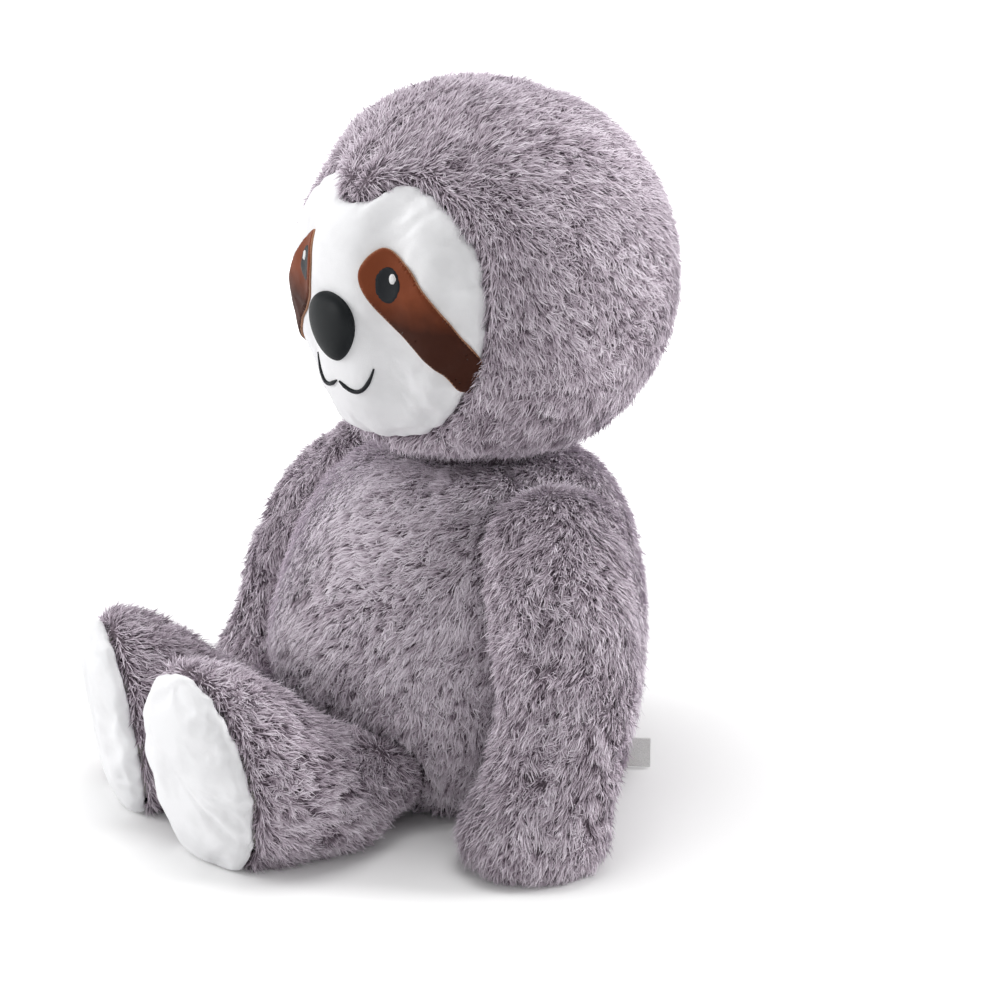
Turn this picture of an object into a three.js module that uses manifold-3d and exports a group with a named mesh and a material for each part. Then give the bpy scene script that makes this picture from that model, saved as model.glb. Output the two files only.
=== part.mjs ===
import * as THREE from 'three';
import { mergeVertices } from 'three/addons/utils/BufferGeometryUtils.js';
import Module from 'manifold-3d';

// A sitting, weighted plush toy in millimetres. It faces -Y, its left side is +X, and it sits on Z = 0.
// The origin is the middle of the flat seat.

// Clearances between sewn and nested pieces
const seamGap = 0.35;
const nestGap = 0.4;
const rootGap = 0.5;
const neckGap = 0.7;
const turnRoom = 2;
const applicationGap = 0.3;

// Cloth and pile
const coverThickness = 7;
const bagThickness = 1.6;
const patchThickness = 1.2;
const embroideryThickness = 1;
const stitchWidth = 2.4;
const stitchRaise = stitchWidth * 0.3;

// Torso, from the flat seat up to the neck
const seatWidth = 150;
const seatDepth = 142;
const hipHeight = 15;
const hipWidth = 184;
const hipDepth = 174;
const bellyHeight = 64;
const bellyWidth = 206;
const bellyDepth = 198;
const bellyForward = 8;
const waistHeight = 108;
const waistWidth = 198;
const waistDepth = 190;
const chestHeight = 148;
const chestWidth = 174;
const chestDepth = 164;
const collarHeight = 172;
const collarWidth = 136;
const collarDepth = 130;
const neckHeight = 184;
const neckWidth = 92;
const neckDepth = 92;
const neckBack = 6;
const seatPanelHeight = 9;

// Head and neck
const headWidth = 202;
const headDepth = 200;
const headHeight = 200;
const headAboveNeck = 98;
const headCentreHeight = neckHeight + headAboveNeck;
const headBack = 10;
const headTurn = 8.5;
const neckPivotHeight = neckHeight + 2;
const neckBallRadius = 39;
const muzzleBulge = 6;
const muzzleSpread = 14;
const muzzleDrop = 24;
const jawBulge = 9;
const jawSpread = 14;
const jawDrop = 40;
const jawHalfAngle = 42;
const browBulge = 7;
const browSpread = 22;
const browRise = 20;
const ridgeHalfAngle = 15;
const socketHollow = 3;
const socketSide = 22;
const socketSpread = 9;
const socketDrop = 5;
const socketReach = 30;

// Face, as angles in degrees on the head: sideways from the middle, then up from the head's middle
const faceOutline = [
  [0, 28.7],
  [7, 31.5],
  [14, 37],
  [23.3, 39],
  [34, 34.5],
  [42.5, 26.8],
  [49.7, 17.3],
  [51.5, 0],
  [50.2, -14],
  [44.6, -27],
  [34, -41],
  [18, -46.5],
];
const faceBottom = -47.5;
const eyePatchOutline = [
  [17.7, 17.5],
  [25.9, 13.3],
  [31.8, 6.4],
  [39.7, -2.3],
  [49, -14.5],
  [48, -20.5],
  [44.6, -26],
  [36, -18.1],
  [27.6, -10.7],
  [15, 1],
  [11.6, 9.9],
];
const eyePatchMiddle = [26, -6];
const eyeSide = 20.5;
const eyeRise = 7;
const eyeWidth = 15.5;
const eyeHeight = 20;
const glintSide = 22;
const glintRise = 9;
const glintWidth = 4.6;
const glintHeight = 5.6;
const noseDrop = 8;
const noseWidth = 33;
const noseHeight = 38;
const noseDepth = 17;
const noseTaper = 0.22;
const mouthDrop = 24;
const mouthHalfWidth = 23.5;
const mouthLift = 8;
const mouthSag = 4;
const mouthHook = 6;

// Arms, from the shoulder to the paw that stands on the floor
const shoulderOut = 4;
const shoulderForward = 2;
const shoulderHeight = 151;
const shoulderWidth = 76;
const shoulderThickness = 60;
const upperArmOut = 113;
const upperArmForward = 12;
const upperArmHeight = 130;
const upperArmWidth = 76;
const upperArmThickness = 66;
const elbowOut = 136;
const elbowForward = 23;
const elbowHeight = 95;
const elbowWidth = 70;
const elbowThickness = 62;
const wristOut = 142;
const wristForward = 33;
const wristHeight = 56;
const wristWidth = 68;
const wristThickness = 60;
const pawOut = 141;
const pawForward = 46;
const pawHeight = 22;
const pawWidth = 77;
const pawThickness = 72;
const pawPress = 3;
const pawFullness = 2.4;

// Legs, from the hip to the sole
const hipOut = 45;
const hipForward = 84;
const hipJointHeight = 30;
const legRootWidth = 56;
const legRootHeight = 46;
const calfForward = 114;
const calfTop = 62;
const calfWidth = 80;
const ankleForward = 146;
const ankleTop = 90;
const ankleWidth = 97;
const heelForward = 174;
const heelTop = 108;
const heelWidth = 99;
const soleOut = 49;
const soleForward = 194;
const soleTop = 108;
const soleWidth = 90;
const soleCrown = 9;
const soleFullness = 1.8;
const toeOutLeft = 8;
const toeOutRight = 15;
const toeLean = 9;
const solePanelDepth = 13;
const heelPress = 9;

// Turns that the limbs have room for, in degrees
const armLift = 60;
const legLift = 22;
const legDrop = 20;

// Weight: cloth bags of glass beads
const seatBagWidth = 120;
const seatBagDepth = 112;
const seatBagHeight = 46;
const pawBagWidth = 44;
const pawBagHeight = 34;
const footBagWidth = 56;
const footBagDepth = 40;
const footBagHeight = 60;
const footBagForward = 166;
const bagMouth = 16;

// Care label, a bare satin loop in the seat seam
const labelWidth = 17;
const labelReach = 14;
const labelThickness = 1.2;
const labelAround = 52;
const labelRise = 9.5;

// Smoothness of the forms
const torsoSides = 22;
const headSides = 28;
const headRingsPerSide = 0.62;
const limbSides = 12;
const innerSides = 10;
const innerRoundSides = 14;
const rootSides = 20;
const neckSides = 22;
const bagSides = 10;
const rodSides = 8;
const noseSides = 16;
const noseRings = 10;
const mouthSteps = 7;
const cordQuality = 6;
const facePoints = 32;
const patchPoints = 18;
const eyePoints = 14;
const glintPoints = 8;

const wasm = await Module();
wasm.setup();
const degree = Math.PI / 180;
const farAway = 900;
const crumbVolume = 1;
const wedgeApex = 1.4;
const point = (x, y, z) => new THREE.Vector3(x, y, z);
const upward = point(0, 0, 1);

// Solid from a closed three.js geometry
function solidFrom(geometry) {
  const bare = geometry.clone();
  bare.deleteAttribute('normal');
  bare.deleteAttribute('uv');
  const merged = mergeVertices(bare, 1e-5);
  return new wasm.Manifold(new wasm.Mesh({
    numProp: 3,
    vertProperties: Float32Array.from(merged.attributes.position.array),
    triVerts: Uint32Array.from(merged.index.array),
  }));
}

// Geometry from a solid, less any crumb smaller than crumbVolume that a cut leaves behind
function geometryFrom(solid) {
  const { vertProperties, triVerts } = solid.getMesh();
  const corner = (k) => point(...vertProperties.subarray(3 * k, 3 * k + 3));
  const parent = Array.from({ length: vertProperties.length / 3 }, (_, k) => k);
  const bodyOf = (k) => {
    let top = k;
    while (parent[top] !== top) top = parent[top];
    parent[k] = top;
    return top;
  };
  const volumes = new Map();
  for (let k = 0; k < triVerts.length; k += 3) {
    const [a, b, c] = triVerts.subarray(k, k + 3);
    parent[bodyOf(b)] = bodyOf(a);
    parent[bodyOf(c)] = bodyOf(a);
  }
  for (let k = 0; k < triVerts.length; k += 3) {
    const [a, b, c] = triVerts.subarray(k, k + 3);
    const volume = corner(a).cross(corner(b)).dot(corner(c)) / 6;
    volumes.set(bodyOf(a), (volumes.get(bodyOf(a)) ?? 0) + volume);
  }
  const kept = [];
  for (let k = 0; k < triVerts.length; k += 3) {
    if (Math.abs(volumes.get(bodyOf(triVerts[k]))) > crumbVolume) {
      kept.push(...triVerts.subarray(k, k + 3));
    }
  }
  const geometry = new THREE.BufferGeometry();
  geometry.setAttribute('position', new THREE.BufferAttribute(vertProperties, 3));
  geometry.setIndex(kept);
  return geometry;
}

// Solid from corner points and triangles, turned outward if they point inward
function solidFromTriangles(corners, triangles) {
  const geometry = new THREE.BufferGeometry();
  const numbers = corners.flatMap((corner) => corner.toArray());
  geometry.setAttribute('position', new THREE.Float32BufferAttribute(numbers, 3));
  geometry.setIndex(triangles.flat());
  const solid = solidFrom(geometry);
  if (solid.volume() > 0) return solid;
  geometry.setIndex(triangles.map(([a, b, c]) => [a, c, b]).flat());
  return solidFrom(geometry);
}

// Closed skin over elliptical rings; each end closes on its own point
function skinOver(rings, sides, startPoint, endPoint) {
  const corners = [startPoint];
  for (const ring of rings) {
    for (let k = 0; k < sides; k += 1) {
      const turn = (2 * Math.PI * k) / sides;
      corners.push(ring.centre.clone()
        .addScaledVector(ring.across, Math.cos(turn))
        .addScaledVector(ring.through, Math.sin(turn)));
    }
  }
  corners.push(endPoint);
  const triangles = [];
  const lastRing = 1 + (rings.length - 1) * sides;
  for (let k = 0; k < sides; k += 1) {
    const next = (k + 1) % sides;
    triangles.push([0, 1 + next, 1 + k]);
    for (let low = 1; low < lastRing; low += sides) {
      const high = low + sides;
      triangles.push([low + k, low + next, high + next]);
      triangles.push([low + k, high + next, high + k]);
    }
    triangles.push([lastRing + k, lastRing + next, corners.length - 1]);
  }
  return solidFromTriangles(corners, triangles);
}

// Rings that run smoothly through the given stations
function ringsThrough(stations, perSpan) {
  const along = (key) => new THREE.CatmullRomCurve3(stations.map((s) => s[key]), false, 'catmullrom');
  const centres = along('centre');
  const acrosses = along('across');
  const throughs = along('through');
  const count = (stations.length - 1) * perSpan;
  const rings = [];
  for (let k = 0; k <= count; k += 1) {
    const t = k / count;
    rings.push({ centre: centres.getPoint(t), across: acrosses.getPoint(t), through: throughs.getPoint(t) });
  }
  return rings;
}

// Rings of a rounded end beyond a ring; fullness above 1 makes the end blunter
function domeRings(ring, reach, steps, fullness = 1) {
  const rings = [];
  for (let k = 1; k < steps; k += 1) {
    const turn = (Math.PI / 2) * (k / steps);
    const shrink = Math.cos(turn) ** (1 / fullness);
    rings.push({
      centre: ring.centre.clone().addScaledVector(reach, Math.sin(turn)),
      across: ring.across.clone().multiplyScalar(shrink),
      through: ring.through.clone().multiplyScalar(shrink),
    });
  }
  return rings;
}

// Ellipsoid whose poles lie on the given axis, so that it turns smoothly about it
function ellipsoid(centre, halfX, halfY, halfZ, sides, poleAxis = upward) {
  const geometry = new THREE.SphereGeometry(1, sides, Math.round(sides / 2));
  geometry.applyQuaternion(new THREE.Quaternion().setFromUnitVectors(point(0, 1, 0), poleAxis));
  geometry.scale(halfX, halfY, halfZ);
  geometry.translate(centre.x, centre.y, centre.z);
  return solidFrom(geometry);
}

// The part of space past a plane, on the side that its normal points to
function beyond(onPlane, normal, gap = 0) {
  const geometry = new THREE.BoxGeometry(2 * farAway, 2 * farAway, farAway);
  geometry.translate(0, 0, farAway / 2 + gap);
  geometry.applyQuaternion(new THREE.Quaternion().setFromUnitVectors(upward, normal.clone().normalize()));
  geometry.translate(onPlane.x, onPlane.y, onPlane.z);
  return solidFrom(geometry);
}

// Upright round rod, for mouths and channels
function uprightRod(centre, radius, low, high) {
  const geometry = new THREE.CylinderGeometry(radius, radius, high - low, rodSides);
  geometry.rotateX(Math.PI / 2);
  geometry.translate(centre.x, centre.y, (low + high) / 2);
  return solidFrom(geometry);
}

// A turn about a pivot; a direction is turned about the origin
const origin = point(0, 0, 0);
const noTurn = (spot) => spot;
const turnAbout = (pivot, axis, angle) => (spot, centre = pivot) => spot.sub(centre)
  .applyAxisAngle(axis, angle * degree).add(centre);

// Torso form
const torsoSizes = [
  [0, seatWidth, seatDepth, bellyForward / 2],
  [hipHeight, hipWidth, hipDepth, bellyForward / 2],
  [bellyHeight, bellyWidth, bellyDepth, bellyForward],
  [waistHeight, waistWidth, waistDepth, bellyForward / 2],
  [chestHeight, chestWidth, chestDepth, 0],
  [collarHeight, collarWidth, collarDepth, -neckBack / 2],
  [neckHeight, neckWidth, neckDepth, -neckBack],
];

function torsoForm(grow, sides = torsoSides, perSpan = 2, turn = noTurn) {
  const stations = torsoSizes.map(([height, width, depth, forward]) => ({
    centre: turn(point(0, -forward, height + grow * ((2 * height) / neckHeight - 1))),
    across: turn(point(width / 2 + grow, 0, 0), origin),
    through: turn(point(0, depth / 2 + grow, 0), origin),
  }));
  const rings = ringsThrough(stations, perSpan);
  return skinOver(rings, sides, rings[0].centre.clone(), rings[rings.length - 1].centre.clone());
}

// Half width of the torso at a height, where the limbs are sewn on
function torsoHalfWidthAt(height) {
  const above = Math.max(1, torsoSizes.findIndex(([high]) => high >= height));
  const [highHeight, highWidth] = torsoSizes[above];
  const [lowHeight, lowWidth] = torsoSizes[above - 1];
  return THREE.MathUtils.mapLinear(height, lowHeight, highHeight, lowWidth, highWidth) / 2;
}

// Pivots of the limbs and the neck; side is +1 for the toy's left and -1 for its right
const neckPivot = point(0, neckBack, neckPivotHeight);
const armPivot = (side) => point(side * (torsoHalfWidthAt(shoulderHeight) + shoulderOut),
  -shoulderForward, shoulderHeight);
const hipPivot = (side) => point(side * hipOut, -hipForward, hipJointHeight);

// Arm form: a soft tube from the shoulder down to a blunt paw
const armSizes = [
  [armPivot(1).x, shoulderForward, shoulderHeight, shoulderWidth, shoulderThickness],
  [upperArmOut, upperArmForward, upperArmHeight, upperArmWidth, upperArmThickness],
  [elbowOut, elbowForward, elbowHeight, elbowWidth, elbowThickness],
  [wristOut, wristForward, wristHeight, wristWidth, wristThickness],
  [pawOut, pawForward, pawHeight, pawWidth, pawThickness],
];

function armForm(side, grow, sides = limbSides, perSpan = 2) {
  const stations = armSizes.map(([out, forward, height, width, thickness], k) => {
    const [lastOut, , lastHeight] = armSizes[Math.max(k - 1, 0)];
    const [nextOut, , nextHeight] = armSizes[Math.min(k + 1, armSizes.length - 1)];
    const slope = k === armSizes.length - 1 ? 0 : Math.atan2(nextOut - lastOut, lastHeight - nextHeight);
    return {
      centre: point(side * out, -forward, height),
      across: point(0, width / 2 + grow, 0),
      through: point(side * Math.cos(slope), 0, Math.sin(slope)).multiplyScalar(thickness / 2 + grow),
    };
  });
  const rings = ringsThrough(stations, perSpan);
  const paw = rings[rings.length - 1];
  const pawReach = point(0, 0, -(pawHeight + pawPress + grow));
  const end = domeRings(paw, pawReach, 4, pawFullness);
  return skinOver([...rings, ...end], sides, rings[0].centre.clone(), paw.centre.clone().add(pawReach));
}

// Everything outside the seam that runs down the middle of an arm, moved out by a gap
function outsideArmSeam(side, gap) {
  const [[rootOut, , rootHeight], [nextOut, , nextHeight]] = armSizes;
  const top = [3 * rootOut - 2 * nextOut, 3 * rootHeight - 2 * nextHeight];
  const middle = armSizes.map(([out, , height]) => [out, height]);
  const shape = new THREE.Shape();
  shape.moveTo(side * farAway, -pawHeight);
  shape.lineTo(side * farAway, top[1]);
  for (const [out, height] of [top, ...middle, [pawOut, -pawHeight]]) {
    shape.lineTo(side * (out + gap), height);
  }
  const geometry = new THREE.ExtrudeGeometry(shape, { depth: 2 * farAway, bevelEnabled: false });
  geometry.rotateX(Math.PI / 2);
  geometry.translate(0, farAway, 0);
  return solidFrom(geometry);
}

// Leg form: a drop that swells from the hip to a tall foot with the sole at its end
const toeOut = (side) => degree * (side > 0 ? toeOutLeft : toeOutRight);
const soleOutward = (side) => point(side * Math.sin(toeOut(side)), -Math.cos(toeOut(side)),
  -Math.sin(toeLean * degree)).normalize();

function legForm(side, grow, sides = limbSides, perSpan = 2) {
  const sizes = [
    [calfForward, calfTop, calfWidth],
    [ankleForward, ankleTop, ankleWidth],
    [heelForward, heelTop, heelWidth],
    [soleForward, soleTop, soleWidth],
  ];
  const stations = [{
    centre: hipPivot(side),
    across: point(side * (legRootWidth / 2 + grow), 0, 0),
    through: point(0, 0, legRootHeight / 2 + grow),
  }];
  for (const [forward, top, width] of sizes) {
    const share = (forward - hipForward) / (soleForward - hipForward);
    const turn = toeOut(side) * share;
    const lean = toeLean * degree * share;
    stations.push({
      centre: point(side * (hipOut + (soleOut - hipOut) * share), -forward, (top - heelPress) / 2),
      across: point(side * Math.cos(turn), Math.sin(turn), 0).multiplyScalar(width / 2 + grow),
      through: point(0, -Math.sin(lean), Math.cos(lean)).multiplyScalar((top + heelPress) / 2 + grow),
    });
  }
  const rings = ringsThrough(stations, perSpan);
  const sole = rings[rings.length - 1];
  const soleReach = soleOutward(side).multiplyScalar(soleCrown + grow);
  const end = domeRings(sole, soleReach, 3, soleFullness);
  return skinOver([...rings, ...end], sides, rings[0].centre.clone(), sole.centre.clone().add(soleReach));
}

// Head form: a ball with a full jaw, a soft ridge down the middle of the face, which swells at the brow
// and the muzzle, and a shallow hollow on each side where the eye is sewn down
const headCentre = point(0, headBack, headCentreHeight);

function faceDirection(sideways, up) {
  const turned = (sideways + headTurn) * degree;
  const flat = Math.cos(up * degree);
  return point(Math.sin(turned) * flat, -Math.cos(turned) * flat, Math.sin(up * degree));
}

function headReach(direction) {
  const straight = direction.clone().applyAxisAngle(upward, -headTurn * degree);
  const ball = 1 / Math.hypot(straight.x / headWidth, straight.y / headDepth, straight.z / headHeight);
  const sideways = Math.atan2(straight.x, -straight.y) / degree;
  const up = Math.asin(straight.z) / degree;
  const muzzle = muzzleBulge * Math.exp(-(((up + muzzleDrop) / muzzleSpread) ** 2));
  const brow = browBulge * Math.exp(-(((up - browRise) / browSpread) ** 2));
  const ridge = (muzzle + brow) * Math.exp(-((sideways / ridgeHalfAngle) ** 4));
  const jaw = jawBulge * Math.exp(-(((up + jawDrop) / jawSpread) ** 2))
    * Math.exp(-((sideways / jawHalfAngle) ** 4));
  const fromSocket = Math.hypot((Math.abs(sideways) - socketSide) / socketSpread,
    (up + socketDrop) / socketReach);
  return ball / 2 + ridge + jaw - socketHollow * Math.exp(-(fromSocket ** 2));
}

function headForm(grow, sides = headSides) {
  const geometry = new THREE.SphereGeometry(1, sides, Math.round(sides * headRingsPerSide));
  geometry.rotateX(Math.PI / 2);
  geometry.rotateZ(headTurn * degree);
  const spots = geometry.attributes.position;
  for (let k = 0; k < spots.count; k += 1) {
    const spot = point(spots.getX(k), spots.getY(k), spots.getZ(k)).normalize();
    spot.multiplyScalar(headReach(spot) + grow).add(headCentre);
    spots.setXYZ(k, spot.x, spot.y, spot.z);
  }
  return solidFrom(geometry);
}

function onHead(sideways, up, offset) {
  const direction = faceDirection(sideways, up);
  return headCentre.clone().addScaledVector(direction, headReach(direction) + offset);
}

// Wedge from inside the head out through a closed outline of face angles
function faceWedge(outline, middle) {
  const inner = headHeight / 8;
  const outer = headHeight;
  const count = outline.length;
  const corners = [];
  for (const reach of [inner, outer]) {
    for (const [sideways, up] of outline) {
      corners.push(headCentre.clone().addScaledVector(faceDirection(sideways, up), reach));
    }
  }
  const axis = faceDirection(middle[0], middle[1]);
  corners.push(headCentre.clone().addScaledVector(axis, inner / 2));
  corners.push(headCentre.clone().addScaledVector(axis, outer * wedgeApex));
  const triangles = [];
  for (let k = 0; k < count; k += 1) {
    const next = (k + 1) % count;
    triangles.push([k, next, count + next], [k, count + next, count + k]);
    triangles.push([2 * count, next, k], [2 * count + 1, count + k, count + next]);
  }
  return solidFromTriangles(corners, triangles);
}

// Smooth closed outline through chosen angles
function smoothOutline(corners, count) {
  const curve = new THREE.CatmullRomCurve3(corners.map(([a, b]) => point(a, b, 0)), true, 'centripetal');
  return curve.getPoints(count).slice(0, count).map((spot) => [spot.x, spot.y]);
}

const degreesPerMillimetre = 1 / ((headHeight / 2) * degree);

function ovalOutline(sideways, up, width, height, count) {
  const outline = [];
  for (let k = 0; k < count; k += 1) {
    const turn = (2 * Math.PI * k) / count;
    const aside = (width / 2) * degreesPerMillimetre * Math.cos(turn);
    outline.push([sideways + aside / Math.cos(up * degree),
      up + (height / 2) * degreesPerMillimetre * Math.sin(turn)]);
  }
  return outline;
}

const mirrored = (outline) => outline.map(([sideways, up]) => [-sideways, up]).reverse();

// Materials
const cloth = (colour, roughness = 0.95) => new THREE.MeshStandardMaterial({
  color: colour, roughness, metalness: 0,
});
const furCloth = cloth(0xa89bab);
const whiteCloth = cloth(0xf0eff1, 0.9);
const patchCloth = cloth(0x6f3a22, 0.85);
const eyeThread = cloth(0x22262c, 0.5);
const glintThread = cloth(0xf7f7f7, 0.5);
const noseSatin = cloth(0x202428, 0.45);
const stuffingFibre = cloth(0xe9e6df);
const bagCloth = cloth(0xd8d2c4);
const glassBead = cloth(0xbfd3d6, 0.2);
const labelSatin = cloth(0xf4f4f2, 0.6);

const toy = new THREE.Group();
function addPiece(name, solid, material) {
  const mesh = new THREE.Mesh(geometryFrom(solid), material);
  mesh.name = name;
  toy.add(mesh);
}

// Round roots of the neck and the limbs, with their poles on the axes on which they turn
const neckBall = (grow) => ellipsoid(neckPivot, neckBallRadius + grow, neckBallRadius + grow,
  neckBallRadius + grow, neckSides);
const neckSpace = neckBall(neckGap);
const armRoot = (side, grow) => ellipsoid(armPivot(side), shoulderThickness / 2 + grow,
  shoulderWidth / 2 + grow, shoulderThickness / 2 + grow, rootSides, point(0, 1, 0));
const legRoot = (side, grow) => ellipsoid(hipPivot(side), legRootWidth / 2 + grow,
  legRootHeight / 2 + grow, legRootHeight / 2 + grow, rootSides, point(1, 0, 0));

// Bag of beads: an open-mouthed cloth pouch and the beads in it
const bagForm = (centre, half, grow) => ellipsoid(centre, half.x + grow, half.y + grow, half.z + grow,
  bagSides);

function addBag(name, centre, half) {
  const mouth = uprightRod(centre, bagMouth / 2, centre.z, centre.z + 2 * half.z);
  addPiece(`${name}_bead_bag`, bagForm(centre, half, 0).subtract(bagForm(centre, half, -bagThickness))
    .subtract(mouth), bagCloth);
  const beadTop = point(centre.x, centre.y, centre.z + half.z / 2);
  addPiece(`${name}_beads`, bagForm(centre, half, -bagThickness - nestGap)
    .subtract(beyond(beadTop, upward)), glassBead);
}

// Space that a bag takes in the stuffing, open below so that nothing is sealed in
const bagSpace = (centre, half) => bagForm(centre, half, nestGap)
  .add(uprightRod(centre, bagMouth / 2, centre.z - 2 * half.z, centre.z));

// Torso pieces
function buildTorso() {
  const spaces = neckSpace.add(armRoot(1, rootGap)).add(armRoot(-1, rootGap))
    .add(legRoot(1, rootGap)).add(legRoot(-1, rootGap));
  const cover = torsoForm(0).subtract(torsoForm(-coverThickness, innerSides, 1)).subtract(spaces);
  const seatSeam = point(0, 0, seatPanelHeight);
  const sideSeam = armPivot(1);
  const middle = point(0, 0, 0);
  const above = cover.intersect(beyond(seatSeam, upward, seamGap / 2));
  const back = above.intersect(beyond(sideSeam, point(0, 1, 0), seamGap / 2));
  addPiece('belly_panel', above.intersect(beyond(sideSeam, point(0, -1, 0), seamGap / 2)), furCloth);
  addPiece('back_panel_left', back.intersect(beyond(middle, point(1, 0, 0), seamGap / 2)), furCloth);
  addPiece('back_panel_right', back.intersect(beyond(middle, point(-1, 0, 0), seamGap / 2)), furCloth);
  addPiece('seat_panel', cover.intersect(beyond(seatSeam, point(0, 0, -1), seamGap / 2)), furCloth);

  const bagHalf = point(seatBagWidth / 2, seatBagDepth / 2, seatBagHeight / 2);
  const bagCentre = point(0, -bellyForward / 2, coverThickness + 2 * nestGap + bagHalf.z);
  addPiece('torso_stuffing', torsoForm(-coverThickness - nestGap, innerSides, 1)
    .subtract(spaces).subtract(bagSpace(bagCentre, bagHalf)), stuffingFibre);
  addBag('seat', bagCentre, bagHalf);

  const hipReach = 1 / (2 * Math.hypot(Math.cos(labelAround * degree) / hipWidth,
    Math.sin(labelAround * degree) / hipDepth));
  const labelLength = hipReach + labelReach;
  const label = new THREE.BoxGeometry(labelLength, labelThickness, labelWidth);
  label.translate(labelLength / 2, 0, labelRise);
  label.rotateZ(labelAround * degree);
  addPiece('care_label', solidFrom(label).subtract(torsoForm(nestGap)), labelSatin);
}

// Head pieces
function buildHead() {
  const cover = headForm(0).subtract(headForm(-coverThickness, innerRoundSides)).subtract(neckSpace);
  const halfOutline = [...faceOutline, [0, faceBottom]];
  const outline = smoothOutline([...halfOutline, ...mirrored(faceOutline.slice(1))], facePoints);
  const middle = [0, -muzzleDrop / 2];
  const furOutline = outline.map(([sideways, up]) => {
    const grow = 1 + (seamGap * degreesPerMillimetre) / Math.hypot(sideways - middle[0], up - middle[1]);
    return [middle[0] + (sideways - middle[0]) * grow, middle[1] + (up - middle[1]) * grow];
  });
  const crownSeam = point(1, 0, 0).applyAxisAngle(upward, headTurn * degree);
  const furCover = cover.subtract(faceWedge(furOutline, middle));
  addPiece('head_side_left', furCover.intersect(beyond(headCentre, crownSeam, seamGap / 2)), furCloth);
  addPiece('head_side_right',
    furCover.intersect(beyond(headCentre, crownSeam.clone().negate(), seamGap / 2)), furCloth);
  addPiece('face_panel', cover.intersect(faceWedge(outline, middle)), whiteCloth);
  addPiece('head_stuffing', headForm(-coverThickness - nestGap, innerRoundSides).subtract(neckSpace),
    stuffingFibre);
  addPiece('nose_pad', nosePad(), noseSatin);
  buildFaceSide(1, 'left');
  buildFaceSide(-1, 'right');
}

// A thin layer that lies on the face inside an outline
const faceLayer = (bottom, thickness, outline, middle) => headForm(bottom + thickness)
  .subtract(headForm(bottom)).intersect(faceWedge(outline, middle));

function buildFaceSide(side, name) {
  const patchOutline = smoothOutline(eyePatchOutline, patchPoints);
  const patch = faceLayer(applicationGap, patchThickness, side > 0 ? patchOutline : mirrored(patchOutline),
    [side * eyePatchMiddle[0], eyePatchMiddle[1]]);
  addPiece(`eye_patch_${name}`, patch, patchCloth);
  const eyeBottom = 2 * applicationGap + patchThickness;
  const eyeMiddle = [side * eyeSide, eyeRise];
  const eye = faceLayer(eyeBottom, embroideryThickness,
    ovalOutline(...eyeMiddle, eyeWidth, eyeHeight, eyePoints), eyeMiddle);
  addPiece(`eye_${name}`, eye, eyeThread);
  const glintBottom = eyeBottom + embroideryThickness + applicationGap;
  const glintMiddle = [side * glintSide, glintRise];
  const glint = faceLayer(glintBottom, embroideryThickness,
    ovalOutline(...glintMiddle, glintWidth, glintHeight, glintPoints), glintMiddle);
  addPiece(`eye_glint_${name}`, glint, glintThread);
  addPiece(`mouth_stitch_${name}`, mouthStroke(side), eyeThread);
}

// One half of the smile: a round cord of stitches on the face
function mouthStroke(side) {
  const spots = [];
  for (let k = 0; k <= mouthSteps; k += 1) {
    const share = k / mouthSteps;
    const aside = side * (seamGap + stitchWidth / 2 + share * mouthHalfWidth) * degreesPerMillimetre;
    const sag = mouthSag * Math.sin(Math.PI * share) - mouthLift * share ** mouthHook;
    spots.push(onHead(aside, -mouthDrop - sag * degreesPerMillimetre, stitchRaise));
  }
  const section = new THREE.Shape();
  section.absarc(0, 0, stitchWidth / 2, 0, 2 * Math.PI, false);
  const cord = new THREE.ExtrudeGeometry(section, {
    steps: mouthSteps,
    curveSegments: cordQuality,
    bevelEnabled: false,
    extrudePath: new THREE.CatmullRomCurve3(spots),
  });
  return solidFrom(cord).subtract(headForm(applicationGap));
}

// Nose: an egg that is wider at the top, sewn flat onto the face
function nosePad() {
  const geometry = new THREE.SphereGeometry(1, noseSides, noseRings);
  const spots = geometry.attributes.position;
  for (let k = 0; k < spots.count; k += 1) {
    const rise = spots.getY(k);
    spots.setX(k, spots.getX(k) * (1 + noseTaper * rise));
  }
  geometry.scale(noseWidth / 2, noseHeight / 2, noseDepth / 2);
  const out = faceDirection(0, -noseDrop);
  const sideways = upward.clone().cross(out).normalize();
  geometry.applyMatrix4(new THREE.Matrix4().makeBasis(sideways, out.clone().cross(sideways), out));
  const centre = onHead(0, -noseDrop, 0);
  geometry.translate(centre.x, centre.y, centre.z);
  return solidFrom(geometry).subtract(headForm(applicationGap));
}

// A limb's cover and stuffing, cut flat by the floor, and by the torso at each turn that the limb makes
function limbParts(form, root, turns, bag) {
  const againstTorso = (gap, sides, perSpan) => turns
    .map((turn) => torsoForm(gap + turnRoom, innerRoundSides, 1, turn))
    .reduce((all, next) => all.add(next), torsoForm(gap, sides, perSpan));
  const aboveFloor = (height) => beyond(point(0, 0, height), upward);
  const outside = form(0).subtract(againstTorso(nestGap, torsoSides, 2)).add(root)
    .intersect(aboveFloor(0));
  const inner = (gap) => form(-coverThickness - gap, innerSides, 1)
    .subtract(againstTorso(coverThickness + nestGap + gap, innerRoundSides, 1))
    .intersect(aboveFloor(coverThickness + gap));
  return { cover: outside.subtract(inner(0)), stuffing: inner(nestGap).subtract(bag) };
}

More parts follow.
